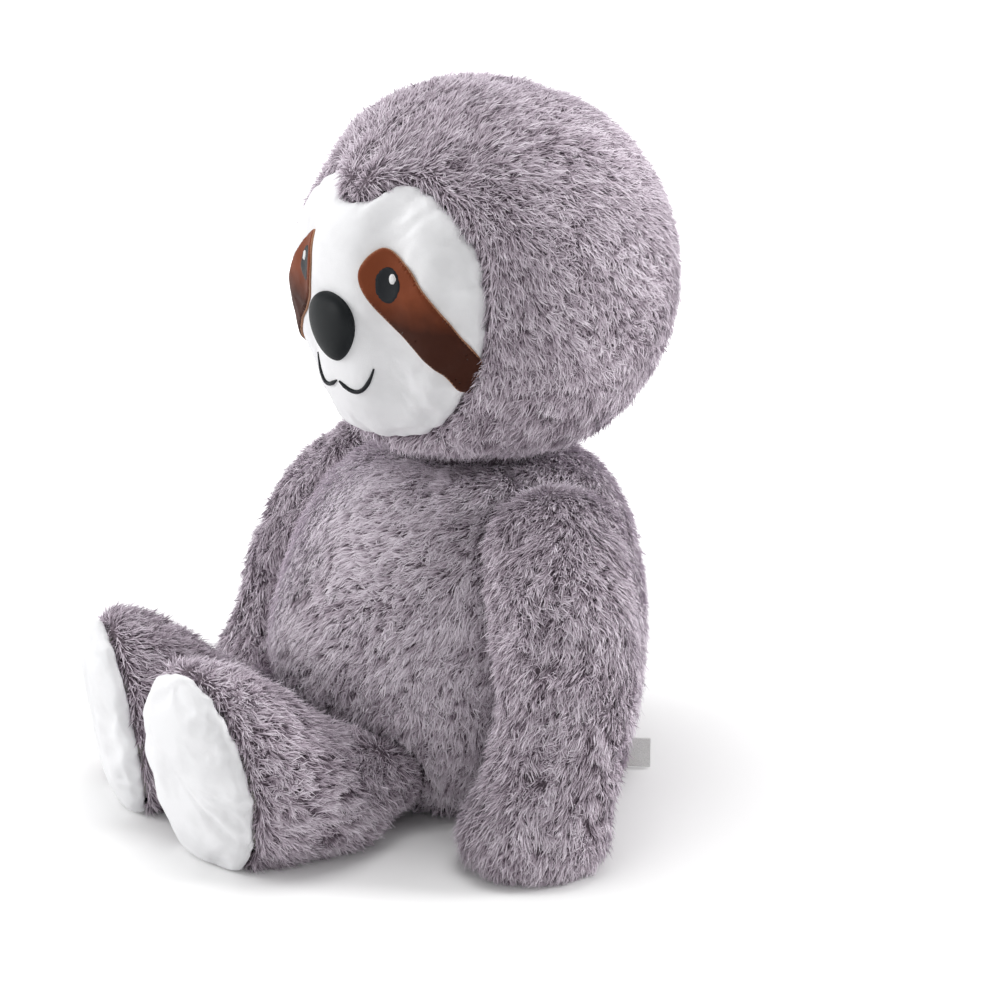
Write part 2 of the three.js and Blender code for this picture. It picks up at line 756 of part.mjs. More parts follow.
function buildArm(side, name) {
  const bagHalf = point(pawBagWidth / 2, pawBagWidth / 2, pawBagHeight / 2);
  const bagCentre = point(side * pawOut, -pawForward, coverThickness + 2 * nestGap + bagHalf.z);
  const pivot = armPivot(side);
  const turns = [0.5, 1].map((share) => turnAbout(pivot, point(0, side, 0), share * armLift));
  const { cover, stuffing } = limbParts((grow, sides, perSpan) => armForm(side, grow, sides, perSpan),
    armRoot(side, 0), turns, bagSpace(bagCentre, bagHalf));
  addPiece(`${name}_arm_outer_panel`, cover.intersect(outsideArmSeam(side, seamGap)), furCloth);
  addPiece(`${name}_arm_inner_panel`, cover.subtract(outsideArmSeam(side, 0)), furCloth);
  addPiece(`${name}_arm_stuffing`, stuffing, stuffingFibre);
  addBag(`${name}_paw`, bagCentre, bagHalf);
}

function buildLeg(side, name) {
  const bagHalf = point(footBagWidth / 2, footBagDepth / 2, footBagHeight / 2);
  const bagCentre = point(side * soleOut, -footBagForward, coverThickness + 2 * nestGap + bagHalf.z);
  const turns = [-legLift, legDrop].map((angle) => turnAbout(hipPivot(side), point(1, 0, 0), -angle));
  const pastMiddle = (grow) => beyond(origin, point(side, 0, 0), nestGap / 2 - grow);
  const { cover, stuffing } = limbParts(
    (grow, sides, perSpan) => legForm(side, grow, sides, perSpan).intersect(pastMiddle(grow)),
    legRoot(side, 0), turns, bagSpace(bagCentre, bagHalf));
  const outward = soleOutward(side);
  const soleCentre = point(side * soleOut, -soleForward, soleTop / 2);
  const soleSeam = soleCentre.clone().addScaledVector(outward, soleCrown - solePanelDepth);
  const run = soleCentre.clone().sub(hipPivot(side));
  const outerSide = point(-run.y, run.x, 0).multiplyScalar(side);
  const furCover = cover.intersect(beyond(soleSeam, outward.clone().negate(), seamGap / 2));
  addPiece(`${name}_leg_outer_panel`,
    furCover.intersect(beyond(soleCentre, outerSide, seamGap / 2)), furCloth);
  addPiece(`${name}_leg_inner_panel`,
    furCover.intersect(beyond(soleCentre, outerSide.clone().negate(), seamGap / 2)), furCloth);
  addPiece(`${name}_sole_panel`, cover.intersect(beyond(soleSeam, outward, seamGap / 2)), whiteCloth);
  addPiece(`${name}_leg_stuffing`, stuffing, stuffingFibre);
  addBag(`${name}_foot`, bagCentre, bagHalf);
}

buildTorso();
addPiece('neck_stuffing', neckBall(0), stuffingFibre);
buildHead();
for (const [side, name] of [[1, 'left'], [-1, 'right']]) {
  buildArm(side, name);
  buildLeg(side, name);
}

export default toy;
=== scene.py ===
"""Weighted plush toy: a sitting sloth with a faux-fur pile, a white plush face and white soles."""
import math
from functools import partial

import bmesh
import bpy
import numpy as np
from mathutils import Matrix, Vector
from mathutils.bvhtree import BVHTree
from mathutils.geometry import interpolate_bezier
from mathutils.kdtree import KDTree


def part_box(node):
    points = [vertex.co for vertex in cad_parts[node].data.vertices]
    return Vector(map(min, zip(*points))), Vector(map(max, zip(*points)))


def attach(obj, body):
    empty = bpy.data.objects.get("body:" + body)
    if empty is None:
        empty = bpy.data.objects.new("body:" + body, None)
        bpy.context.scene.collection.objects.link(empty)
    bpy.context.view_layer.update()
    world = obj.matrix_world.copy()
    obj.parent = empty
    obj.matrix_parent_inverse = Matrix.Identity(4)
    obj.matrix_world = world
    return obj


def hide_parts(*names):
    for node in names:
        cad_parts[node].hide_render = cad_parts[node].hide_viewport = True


bl_info = {
    "name": "Weighted plush sloth",
    "version": (1, 0, 0),
    "blender": (4, 5, 0),
    "location": "View3D > Sidebar > Plush",
    "description": "Sews the covers, pile, face and label of a weighted plush sloth onto its packed model",
    "category": "Object",
}

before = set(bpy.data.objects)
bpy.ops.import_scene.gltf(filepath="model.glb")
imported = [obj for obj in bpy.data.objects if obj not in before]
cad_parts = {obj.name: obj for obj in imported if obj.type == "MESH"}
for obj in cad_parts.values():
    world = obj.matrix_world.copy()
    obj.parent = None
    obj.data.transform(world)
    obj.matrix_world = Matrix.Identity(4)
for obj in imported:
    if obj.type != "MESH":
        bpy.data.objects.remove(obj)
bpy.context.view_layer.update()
MM = 0.001

# Where the head is, and which way it looks
HEAD_CENTRE = Vector((0, 10, 282)) * MM
HEAD_HALF = Vector((101, 100, 100)) * MM
HEAD_TURN = math.radians(8.5)
FACE_RADIUS = HEAD_HALF.z
# What the camera and the lamps point at
LOOKED_AT = Vector((9.5, 15.3, 154)) * MM

# Swells of the face: how far out, how high as an angle, and its spread up and to each side
SWELLS = (
    (6 * MM, math.radians(-24), math.radians(14), math.radians(15)),
    (7 * MM, math.radians(20), math.radians(22), math.radians(15)),
    (9 * MM, math.radians(-40), math.radians(14), math.radians(42)),
)
SOCKET_HOLLOW = 3 * MM
SOCKET_PLACE = (math.radians(22), math.radians(-5))
SOCKET_SPREAD = (math.radians(9), math.radians(30))

# Covers: their cloth, how near the floor they come and how finely they are remeshed
COVER_THICKNESS = 7 * MM
FLOOR_GAP = 1.3 * MM
FUR_VOXEL = 4 * MM
WHITE_VOXEL = 3 * MM
# How far a cover's points look for the next cover, stuffing or body
SEARCH = 0.05
# Between which distances from the stuffing, as shares of the cloth, a cover's outer wall begins
OUTER_SHARES = (0.55, 0.8)
# Between which distances from a seam or another body a cover goes from held to free
SEAM_FREE = (1.5 * MM, 5 * MM)
BODY_FREE = (4 * MM, 18 * MM)
HEAD_FORM_FREE = (2 * MM, 7 * MM)
# The middle of the face stays as it is, out to these angles sideways and down
FACE_FREE_SIDEWAYS = (math.radians(12), math.radians(27))
FACE_FREE_DOWN = (math.radians(30), math.radians(40))
SWELL_STEPS = 20
SWELL_CLOTH = {
    "quality": 4,
    "mass": 0.2,
    "use_pressure": True,
    "uniform_pressure_force": 4,
    "shrink_min": -0.03,
    "bending_stiffness": 0.6,
}

# Pile: how far each side's combing blends over the middle, and the heights it changes between
SIDE_BLEND = 25 * MM
CROWN_HEIGHTS = (20 * MM, 95 * MM)
JAW_DEPTHS = (10 * MM, 70 * MM)
FLANK_HEIGHTS = (30 * MM, 150 * MM)
CHEST_HEIGHTS = (135 * MM, 175 * MM)
BELLY_HEIGHTS = (50 * MM, 90 * MM)
# Where each leg's pile is tucked in at the hip, on the toy's left, and how far that shows
HIP_TUCK = Vector((71, -92, 50)) * MM
HIP_TUCK_REACH = 22 * MM
# Gaps to other bodies between which the pile is planted thickly, and grows to its full length
PLANTED_GAPS = (1 * MM, 2 * MM)
ROOM_GAPS = (1 * MM, 9 * MM)
FLOOR_HEIGHTS = (0.5 * MM, 2.5 * MM)
# Between which shares of facing up a cover stops being the underside, where the pile is pressed
UNDERSIDE = (-0.9, -0.5)
PILE_FLOOR = 0.2 * MM
SHORTEST_PILE = 0.3
PRESSED_PILE = 0.35
SEAT_PILE = 0.4
OWN_SHADING = 0.45
# A tuft's corners: along, across and up, as shares of its length, width and lift
TUFT_SHAPE = ((0, 0, 0), (0.45, -0.5, 0.7), (1, 0, 1), (0.45, 0.5, 0.7))
# How far each tuft leans and rises its own way, and its shares of length, width and tone, with seeds
TUFT_LEAN_CHANCE = (0.45, 3)
TUFT_RISE_CHANCE = (0.4, 5)
TUFT_LENGTH_CHANCE = (0.7, 1.15, 7)
TUFT_WIDTH_CHANCE = (0.6, 1.2, 13)
TUFT_TONE_CHANCE = (0.25, 0.75, 11)
TUFT_STRETCH = (0.45, 1.5)
SWIRL_SHARE = 3.2
OWN_TURN_SHARE = 1.6
PARTING_WIDTH = 0.045
# A lock's height: how far it varies and its least, and what lowers a tuft; what makes it pale, its own
# tone and painted light where the pile lies flat, or dark, painted shade at a lock's edge and in a parting
LOCK_HEIGHT = (0.6, 0.95)
LOWER = {"edge": 0.55, "parting": 0.6, "brushed": 0.45}
PALER = {"own": 0.6, "brushed": 1.4}
PAINTED_SHADE = {"edge": 0.9, "parting": 0.5}
# How far the combing leaves straight down: back on the head and its crown, forwards at the jaw, the
# flanks, the chest and the arms, back on the legs, and away from the hip tuck
HEAD_BACK, CROWN_BACK, JAW_FORWARD = 0.3, 1.8, 0.9
FLANK_FORWARD, CHEST_FORWARD, ARM_FORWARD = 0.15, 1.1, 0.35
LEG_BACK, TUCK_SPREAD = 1.2, 3.5
# How strongly the belly is brushed flat and made paler by painted light at its sides and over its front,
# and how far the chest joins in
BRUSHED_LIT_SIDES, BRUSHED_LIT_FRONT, BRUSHED_LIT_CHEST = 0.22, 0.78, 0.3
# Between which shares of facing forwards, and of facing the toy's right, the flattening and its painted
# light set in
BRUSHED_LIT_FORWARDS = (0.1, 0.45)
BRUSHED_LIT_SIDEWAYS = (0.1, 0.4)

# How many times each pattern comes on a metre of cloth
PER_METRE = {
    "swirls": 24.0,
    # Patches of worn, crushed pile made paler or darker as painted light and shade
    "crushed sheen patches": 28.0,
    "partings": 62.0,
    "backing loops": 900.0,
    "plush patches": 45.0,
    "plush fibres": 1400.0,
    "velour patches": 90.0,
    "velour fibres": 1800.0,
}
# A wave pattern of scale 1 has about this many bands on a metre
WAVE_BANDS = 3.2
# What a tuft's tone, which carries painted light and shade, and a patch of painted sheen on worn pile, is
# multiplied by and moved by, to shift the tuft's colour
TONE_SHIFT = (0.7, -0.32)
CRUSHED_SHEEN_SHIFT = (0.35, -0.17)

# Each lamp's place, its diameter in metres and its power in watts
LAMPS = (
    ("key", (-1.35, -1.6, 0.8), 1.0, 25),
    ("rim", (1.1, 1.7, 1.0), 0.9, 28),
    ("top", (0.0, 0.1, 2.2), 1.2, 18),
)
FLOOR_HALF = 6
# How brightly the floor glows to the eye at shares of its glow's reach from the toy
GLOW_REACH = 2.5
FLOOR_GLOW = ((0.04, 0), (0.16, 0.3), (0.4, 0.7), (1.0, 1))

# Between which heights the eye patches go from painted shade to plain velour
VELOUR_SHADE_HEIGHTS = (0.27, 0.297)

# Places on the face: degrees sideways from its middle, and up
EYE_PATCH = ((17.7, 17.5), (25.9, 13.3), (31.8, 6.4), (39.7, -2.3), (49, -14.5), (48, -20.5),
             (44.6, -26), (36, -18.1), (27.6, -10.7), (15, 1), (11.6, 9.9))
EYE_PLACE = (20.5, 7)
GLINT_PLACE = (22, 9)
EYE_SIZE = (15.5 * MM, 20 * MM)
GLINT_SIZE = (4.6 * MM, 5.6 * MM)
# How thick each cord of stitches is, and how high over the face its middle lies
EDGING_RADIUS, EDGING_HEIGHT = 0.65 * MM, 0.6 * MM
MOUTH_RADIUS, MOUTH_HEIGHT = 1.15 * MM, 0.4 * MM
# An open cord's ends: their share of its radius, and over how many points it gets there
CORD_TIP, CORD_TAPER = 0.45, 5
# Layers on the face: where the rounding of their edge has its rings, as shares of the edge from ring
# to ring, how far apart their points are and how far they reach into the cloth
EDGE_RINGS = (0.25, 0.3, 0.45)
LAYER_SPACING = 1.5 * MM
LAYER_SINK = 0.3 * MM
NOSE_DROP = math.radians(8)
NOSE_HALF = Vector((16.5, 19, 8.5)) * MM
NOSE_TAPER = 0.22
MOUTH_DROP = math.radians(24) * FACE_RADIUS
# Each stroke of the smile, in millimetres: its start and length sideways, its sag and its hook up
MOUTH_START, MOUTH_LENGTH, MOUTH_SAG, MOUTH_HOOK = 1.2, 23.5, 4, 8

# Turns of the face's gathers round its middle, in degrees
FACE_GATHERS = (-150, -141, -128, -119, -107, -98, -88, -76, -67, -55, -44, -31, -14,
                8, 21, 30, 41, 52, 64, 76, 104, 118, 131, 143, 158, 172, 190)
# Between which bounds each face gather strays in degrees, is wide as an angle, and is deep and reaches
# in millimetres
GATHER_STRAY, GATHER_WIDTH = (-3, 3), (0.03, 0.07)
GATHER_DEPTH, GATHER_REACH = (0.7, 1.5), (8, 20)
# Creases of each sole: turn in degrees, width as an angle, and depth and reach in millimetres
SOLE_GATHERS = (
    (-2, 0.09, 1.2, 26), (-15, 0.09, 1.7, 30), (-27, 0.1, 1.9, 32), (-43, 0.1, 2.6, 30),
    (14, 0.07, 0.4, 14), (-66, 0.07, 0.4, 12), (-100, 0.08, 0.3, 12), (-140, 0.08, 0.3, 12),
    (170, 0.07, 0.3, 10), (100, 0.07, 0.2, 9), (60, 0.07, 0.3, 9),
)

# Every fur panel and white panel: its cover's name, CAD node and body
LIMBS = ("left_arm", "right_arm", "left_leg", "right_leg")
FUR_PANELS = (
    ("belly", "belly_panel", "torso"),
    ("back_left", "back_panel_left", "torso"),
    ("back_right", "back_panel_right", "torso"),
    ("seat", "seat_panel", "torso"),
    ("head_left", "head_side_left", "head"),
    ("head_right", "head_side_right", "head"),
    *((f"{limb}_{side}", f"{limb}_{side}_panel", limb) for limb in LIMBS for side in ("outer", "inner")),
)
WHITE_PANELS = (
    ("face", "face_panel", "head"),
    ("left_sole", "left_sole_panel", "left_leg"),
    ("right_sole", "right_sole_panel", "right_leg"),
)
STUFFED_BODIES = ("torso", "head", *LIMBS)

MATH = "ShaderNodeMath"
VECTOR = "ShaderNodeVectorMath"
NOISE = "ShaderNodeTexNoise"
RAMP = "ShaderNodeValToRGB"
BUMP = "ShaderNodeBump"


def linear(code):
    """sRGB hex colour as linear red, green, blue, alpha."""
    values = []
    for k in (1, 3, 5):
        value = int(code[k:k + 2], 16) / 255
        values.append(value / 12.92 if value <= 0.04045 else ((value + 0.055) / 1.055) ** 2.4)
    return (*values, 1.0)


def colour_property(name, description, code):
    return bpy.props.FloatVectorProperty(
        name=name, description=description, subtype="COLOR", size=4, min=0, max=1, default=linear(code))


def length_property(name, description, millimetres):
    return bpy.props.FloatProperty(
        name=name, description=description, unit="LENGTH", min=0, default=millimetres * MM)


def share_property(name, description, value):
    return bpy.props.FloatProperty(
        name=name, description=description, subtype="FACTOR", min=0, max=2, default=value)


class PileSettings(bpy.types.PropertyGroup):
    length: length_property("Pile length", "Length of one fibre tuft", 6.8)
    width: length_property("Fibre width", "Width of one fibre tuft at its middle", 0.7)
    lift: share_property("Lift", "Height of a tip over its root, as a share of its length", 0.45)
    per_area: bpy.props.FloatProperty(
        name="Fibres", description="Fibre tufts on each square metre", default=1.8e6, min=0)
    clump: length_property("Lock width", "Width of the locks that the pile sticks into", 3.6)
    squeeze: share_property("Lock shape", "Width of a lock as a share of its length", 0.5)
    pull: share_property("Lock pull", "How far tips lean to the middle of their lock", 0.9)
    swirl: share_property("Swirl", "How far crushed patches turn the pile", 0.9)
    own_turn: share_property("Lock turn", "How far each lock turns its own way", 0.9)
    # The root colour's darkness is painted shade deep in the pile; the tip colour is pale partly by the
    # fibres' own colour and partly as painted light
    root: colour_property("Root", "Colour of the pile at its root", "#6b5d68")
    middle: colour_property("Middle", "Colour of the pile half way up", "#bdafbb")
    tip: colour_property("Tip", "Colour of the pile at its tips", "#f0e8f0")


class ClothSettings(bpy.types.PropertyGroup):
    backing: colour_property("Fur backing", "Knitted backing between the tufts", "#7d6f79")
    white: colour_property("White plush", "Short pile of the face and soles", "#f1f1f3")
    patch: colour_property("Eye patch", "Brown velour of the eye patches", "#7a3d23")
    # The lower end's darker colour is painted shade where the velour's pile leans away from the light
    patch_painted_shade: colour_property("Eye patch, lower end", "Velour where its pile leans away", "#3c1b0f")
    patch_edge: colour_property("Eye patch edge", "Satin stitches round the patches", "#a67a5e")
    thread: colour_property("Eye thread", "Embroidery of the eyes and the mouth", "#171b20")
    nose: colour_property("Nose", "Satin of the padded nose", "#15191c")
    glint: colour_property("Glint", "Embroidered glint in the eyes", "#f8f8f8")
    swell: length_property("Swell", "Most that a cover swells between its seams", 3)


class StageSettings(bpy.types.PropertyGroup):
    azimuth: bpy.props.FloatProperty(
        name="Azimuth", description="Camera's turn round the toy", subtype="ANGLE",
        default=math.radians(58))
    elevation: bpy.props.FloatProperty(
        name="Elevation", description="Camera's height as an angle", subtype="ANGLE",
        default=math.radians(17))
    distance: length_property("Distance", "From the camera to what it looks at", 1800)
    focal: bpy.props.FloatProperty(name="Focal length", description="In millimetres", default=117.8)


# Node and mesh helpers

def set_inputs(node, inputs):
    """Fills a node's inputs, given by name or in order. A node or a socket is linked to its input."""
    for key, value in inputs.items() if isinstance(inputs, dict) else enumerate(inputs):
        if isinstance(value, bpy.types.Node):
            value = value.outputs[0]
        if isinstance(value, bpy.types.NodeSocket):
            node.id_data.links.new(value, node.inputs[key])
        else:
            node.inputs[key].default_value = value


def add_node(tree, kind, inputs=None, stops=(), **settings):
    """Adds a node with its settings, inputs and links, and the colour stops of a ramp."""
    node = tree.nodes.new(kind)
    for name, value in settings.items():
        setattr(node, name, value)
    set_inputs(node, inputs or ())
    if stops:
        elements = node.color_ramp.elements
        while len(elements) < len(stops):
            elements.new(0.5)
        for element, (place, colour) in zip(elements, stops):
            element.position = place
            element.color = colour
    return node


def new_material(name):
    """A material with a bare Principled shader: it, what adds its nodes, the shader and each place."""
    material = bpy.data.materials.new(name)
    material.use_nodes = True
    add = partial(add_node, material.node_tree)
    place = add("ShaderNodeTexCoord").outputs["Object"]
    return material, add, material.node_tree.nodes["Principled BSDF"], place


def darker(colour, share):
    return tuple(share * v for v in colour[:3]) + (1.0,)


def finish_cloth(add, shader, pattern, stops, height, depth, strength, looks):
    """Colours a cloth by a pattern, raises its fibres or threads, and sets the rest of its shader."""
    colour = add(RAMP, {"Fac": pattern}, stops)
    bump = add(BUMP, {"Height": height, "Distance": depth, "Strength": strength})
    set_inputs(shader, {"Base Color": colour, "Normal": bump, **looks})


def new_object(name, data):
    piece = bpy.data.objects.new(name, data)
    bpy.context.scene.collection.objects.link(piece)
    return piece


def mesh_from(bm, name):
    """The mesh that a bmesh has made, which ends the bmesh."""
    mesh = bpy.data.meshes.new(name)
    bm.to_mesh(mesh)
    bm.free()
    return mesh


def copy_of(node, name):
    """A new object with a CAD node's mesh, its loose triangles merged."""
    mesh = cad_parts[node].data.copy()
    mesh.name = name
    mesh.materials.clear()
    bm = bmesh.new()
    bm.from_mesh(mesh)
    bmesh.ops.remove_doubles(bm, verts=bm.verts, dist=0.01 * MM)
    bm.to_mesh(mesh)
    bm.free()
    return new_object(name, mesh)


def apply_modifiers(piece):
    """The piece's mesh becomes what its modifiers make."""
    graph = bpy.context.evaluated_depsgraph_get()
    made = bpy.data.meshes.new_from_object(piece.evaluated_get(graph), depsgraph=graph)
    piece.modifiers.clear()
    old = piece.data
    piece.data = made
    made.name = piece.name
    bpy.data.meshes.remove(old)


def corners_of(mesh):
    found = np.zeros(len(mesh.vertices) * 3)
    mesh.vertices.foreach_get("co", found)
    return found.reshape(-1, 3)


def normals_of(mesh):
    found = np.zeros(len(mesh.vertices) * 3)
    mesh.vertices.foreach_get("normal", found)
    return found.reshape(-1, 3)


def set_corners(mesh, places):
    mesh.vertices.foreach_set("co", np.asarray(places, float).ravel())
    mesh.update()


def finder(nodes):
    """Search tree over the surfaces of CAD nodes."""
    corners = []
    faces = []
    for name in nodes:
        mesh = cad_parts[name].data
        start = len(corners)
        corners += [v.co.copy() for v in mesh.vertices]
        faces += [[start + k for k in p.vertices] for p in mesh.polygons]
    return BVHTree.FromPolygons(corners, faces)


def distances(places, tree, most):
    """Distance from each point to the nearest surface, up to a limit."""
    found = np.full(len(places), most)
    for k, place in enumerate(places):
        hit = tree.find_nearest(Vector(place), most)
        if hit[0] is not None:
            found[k] = hit[3]
    return found


def smooth_step(value, low, high):
    share = np.clip((np.asarray(value) - low) / (high - low), 0, 1)
    return share * share * (3 - 2 * share)


def shade_smooth(piece):
    piece.data.polygons.foreach_set("use_smooth", np.ones(len(piece.data.polygons), bool))


# Materials

def fur_material(settings):
    """Polyester faux fur: dull crimped fibres, darkened at the roots by painted shade between the tufts,
    and pale at the tips, partly the fibres' own two-tone colour and partly painted light.
    """
    material, add, shader, place = new_material("Polyester faux fur")
    along = add("ShaderNodeAttribute", attribute_name="along").outputs["Fac"]
    tone = add("ShaderNodeAttribute", attribute_name="tone").outputs["Fac"]
    patch = add(NOISE, {"Vector": place, "Scale": PER_METRE["crushed sheen patches"], "Detail": 2.0})
    # The tuft's tone, with its painted light and shade, and painted sheen patches of worn pile move its
    # colours towards the root's or the tip's
    shade = add(MATH, (tone, *TONE_SHIFT), operation="MULTIPLY_ADD")
    crushed_sheen = add(MATH, (patch, *CRUSHED_SHEEN_SHIFT), operation="MULTIPLY_ADD")
    both = add(MATH, (shade, crushed_sheen))
    value = add(MATH, (along, both), use_clamp=True)
    # The ramp runs from painted shade at the root to tips that are partly painted light
    stops = ((0.0, settings.root), (0.45, settings.middle), (1.0, settings.tip))
    set_inputs(shader, {
        "Base Color": add(RAMP, {"Fac": value}, stops), "Roughness": 0.72,
        "Specular IOR Level": 0.2, "Sheen Weight": 1.0, "Sheen Roughness": 0.4,
        "Sheen Tint": linear("#f2e8f4")})
    return material


def backing_material(settings):
    """Knitted polyester backing: loops about a millimetre apart, seen only between the tufts."""
    material, add, shader, place = new_material("Knitted backing")
    loops = add("ShaderNodeTexVoronoi", {"Vector": place, "Scale": PER_METRE["backing loops"]})
    # Darker towards the edges of each loop: painted shade between the loops
    stops = ((0.0, settings.backing), (0.8, darker(settings.backing, 0.6)))
    finish_cloth(add, shader, loops, stops, loops, 0.4 * MM, 1.0, {"Roughness": 0.95})
    return material


def white_material(settings):
    """White minky plush: a dense two millimetre pile that reads as smooth, with a bloom at its edges."""
    material, add, shader, place = new_material("White minky plush")
    fibres = add(NOISE, {"Vector": place, "Scale": PER_METRE["plush fibres"], "Detail": 4.0,
                         "Roughness": 0.7})
    lean = add(NOISE, {"Vector": place, "Scale": PER_METRE["plush patches"], "Detail": 3.0})
    height = add(MATH, (lean, 2.0, fibres), operation="MULTIPLY_ADD")
    stops = ((0.3, darker(settings.white, 0.9)), (0.55, settings.white))
    finish_cloth(add, shader, lean, stops, height, 0.35 * MM, 0.6, {
        "Roughness": 0.9, "Sheen Weight": 0.3, "Sheen Roughness": 0.45})
    return material


def velour_material(settings):
    """Brown velour: a one millimetre pile, darker low on the patch as painted shade where its pile leans
    from the eye.
    """
    material, add, shader, place = new_material("Brown velour")
    down = add("ShaderNodeSeparateXYZ", (place,)).outputs["Z"]
    lean = add(NOISE, {"Vector": place, "Scale": PER_METRE["velour patches"], "Detail": 4.0})
    # Low on the patch the velour is painted darker: painted shade
    height = add("ShaderNodeMapRange", {"Value": down, "From Min": VELOUR_SHADE_HEIGHTS[0],
                                        "From Max": VELOUR_SHADE_HEIGHTS[1]})
    mixed = add(MATH, (lean, 0.5, height), operation="MULTIPLY_ADD")
    fibres = add(NOISE, {"Vector": place, "Scale": PER_METRE["velour fibres"], "Detail": 3.0})
    stops = ((0.3, settings.patch_painted_shade), (1.0, settings.patch))
    finish_cloth(add, shader, mixed, stops, fibres, 0.3 * MM, 0.6, {
        "Roughness": 0.85, "Specular IOR Level": 0.2, "Sheen Weight": 0.12, "Sheen Roughness": 0.4})
    return material


def thread_material(name, colour, roughness, spacing, direction="X"):
    """Satin stitches of rayon thread that lie side by side, with a soft gloss across them."""
    material, add, shader, place = new_material(name)
    waves = add("ShaderNodeTexWave",
                {"Vector": place, "Scale": 1 / (spacing * WAVE_BANDS), "Distortion": 1.2, "Detail": 1.0},
                wave_type="BANDS", bands_direction=direction).outputs["Fac"]
    stops = ((0.1, darker(colour, 0.7)), (0.7, tuple(colour)))
    finish_cloth(add, shader, waves, stops, waves, 0.15 * MM, 0.5, {
        "Roughness": roughness, "Specular IOR Level": 0.18})
    return material


def plain_cloth_material(name, code, spacing, roughness=0.9):
    """A woven or fibrous inner cloth, with its threads as a fine bump."""
    material, add, shader, place = new_material(name)
    threads = add(NOISE, {"Vector": place, "Scale": 1 / spacing, "Detail": 5.0})
    stops = ((0.35, darker(linear(code), 0.8)), (0.6, linear(code)))
    finish_cloth(add, shader, threads, stops, threads, 0.5 * MM, 1.0, {"Roughness": roughness})
    return material


def bead_material():
    """Glass beads three millimetres across, packed side by side."""
    material, add, shader, place = new_material("Glass beads")
    beads = add("ShaderNodeTexVoronoi", {"Vector": place, "Scale": 1 / (3 * MM)})
    # Darker towards where the beads meet: painted shade between the beads
    stops = ((0.1, linear("#dfe9ea")), (0.7, linear("#7f9a9f")))
    round_tops = add(BUMP, {"Height": beads, "Distance": 1.5 * MM}, invert=True)
    set_inputs(shader, {
        "Base Color": add(RAMP, {"Fac": beads}, stops), "Normal": round_tops,
        "Roughness": 0.12, "IOR": 1.52})
    return material


# Head form, which the face's covers follow

def face_direction(sideways, up):
    """Direction from the head's centre at angles from straight ahead."""
    turned = sideways + HEAD_TURN
    return Vector((math.sin(turned) * math.cos(up), -math.cos(turned) * math.cos(up), math.sin(up)))


def head_reach(directions):
    """Distance from the head's centre to its surface: a ball with a brow, a muzzle, a jaw and sockets."""
    turn = Matrix.Rotation(-HEAD_TURN, 3, "Z")
    straight = directions @ np.array(turn).T
    sideways = np.arctan2(straight[:, 0], -straight[:, 1])
    up = np.arcsin(np.clip(straight[:, 2], -1, 1))
    reach = 1 / np.linalg.norm(straight / np.array(HEAD_HALF), axis=1)
    for height, place, spread, half in SWELLS:
        reach += height * np.exp(-((up - place) / spread) ** 2 - (sideways / half) ** 4)
    from_socket = np.hypot((np.abs(sideways) - SOCKET_PLACE[0]) / SOCKET_SPREAD[0],
                           (up - SOCKET_PLACE[1]) / SOCKET_SPREAD[1])
    return reach - SOCKET_HOLLOW * np.exp(-from_socket ** 2)


def face_angles(places):
    """Angles sideways and up at which points lie on the head."""
    away = np.asarray(places) - np.array(HEAD_CENTRE)
    x, y, z = (away @ np.array(Matrix.Rotation(-HEAD_TURN, 3, "Z")).T).T
    return np.arctan2(x, -y), np.arctan2(z, np.hypot(x, y))


# Covers

def outer_share(places, body):
    """How far a point is on the outer wall of a cover: 0 inside, 1 outside."""
    gap = distances(places, finder([body + "_stuffing"]), SEARCH)
    return smooth_step(gap, *(share * COVER_THICKNESS for share in OUTER_SHARES))


def seam_distances(places, node, body):
    """Distance to the panels sewn to this one."""
    others = [n for _, n, b in FUR_PANELS + WHITE_PANELS if b == body and n != node]
    return distances(places, finder(others), 2 * SEARCH)


def swell_cover(piece, held, cap):
    """Blows a cover up between its seams, as stuffing does; held points stay."""
    start = corners_of(piece.data)
    group = piece.vertex_groups.new(name="held")
    for k, weight in enumerate(held):
        group.add([k], float(weight), "REPLACE")
    cloth = piece.modifiers.new("Cloth", "CLOTH")
    for name, value in SWELL_CLOTH.items():
        setattr(cloth.settings, name, value)
    cloth.settings.vertex_group_mass = group.name
    cloth.settings.effector_weights.gravity = 0
    cloth.point_cache.frame_start = 1
    cloth.point_cache.frame_end = SWELL_STEPS
    scene = bpy.context.scene
    for step in range(1, SWELL_STEPS + 1):
        scene.frame_set(step)
    graph = bpy.context.evaluated_depsgraph_get()
    swollen = corners_of(piece.evaluated_get(graph).to_mesh())
    piece.modifiers.clear()
    piece.vertex_groups.clear()
    scene.frame_set(1)
    move = swollen - start
    far = np.linalg.norm(move, axis=1, keepdims=True)
    move *= np.minimum(1, cap / np.maximum(far, 1e-9))
    set_corners(piece.data, start + move * (1 - np.asarray(held))[:, None])


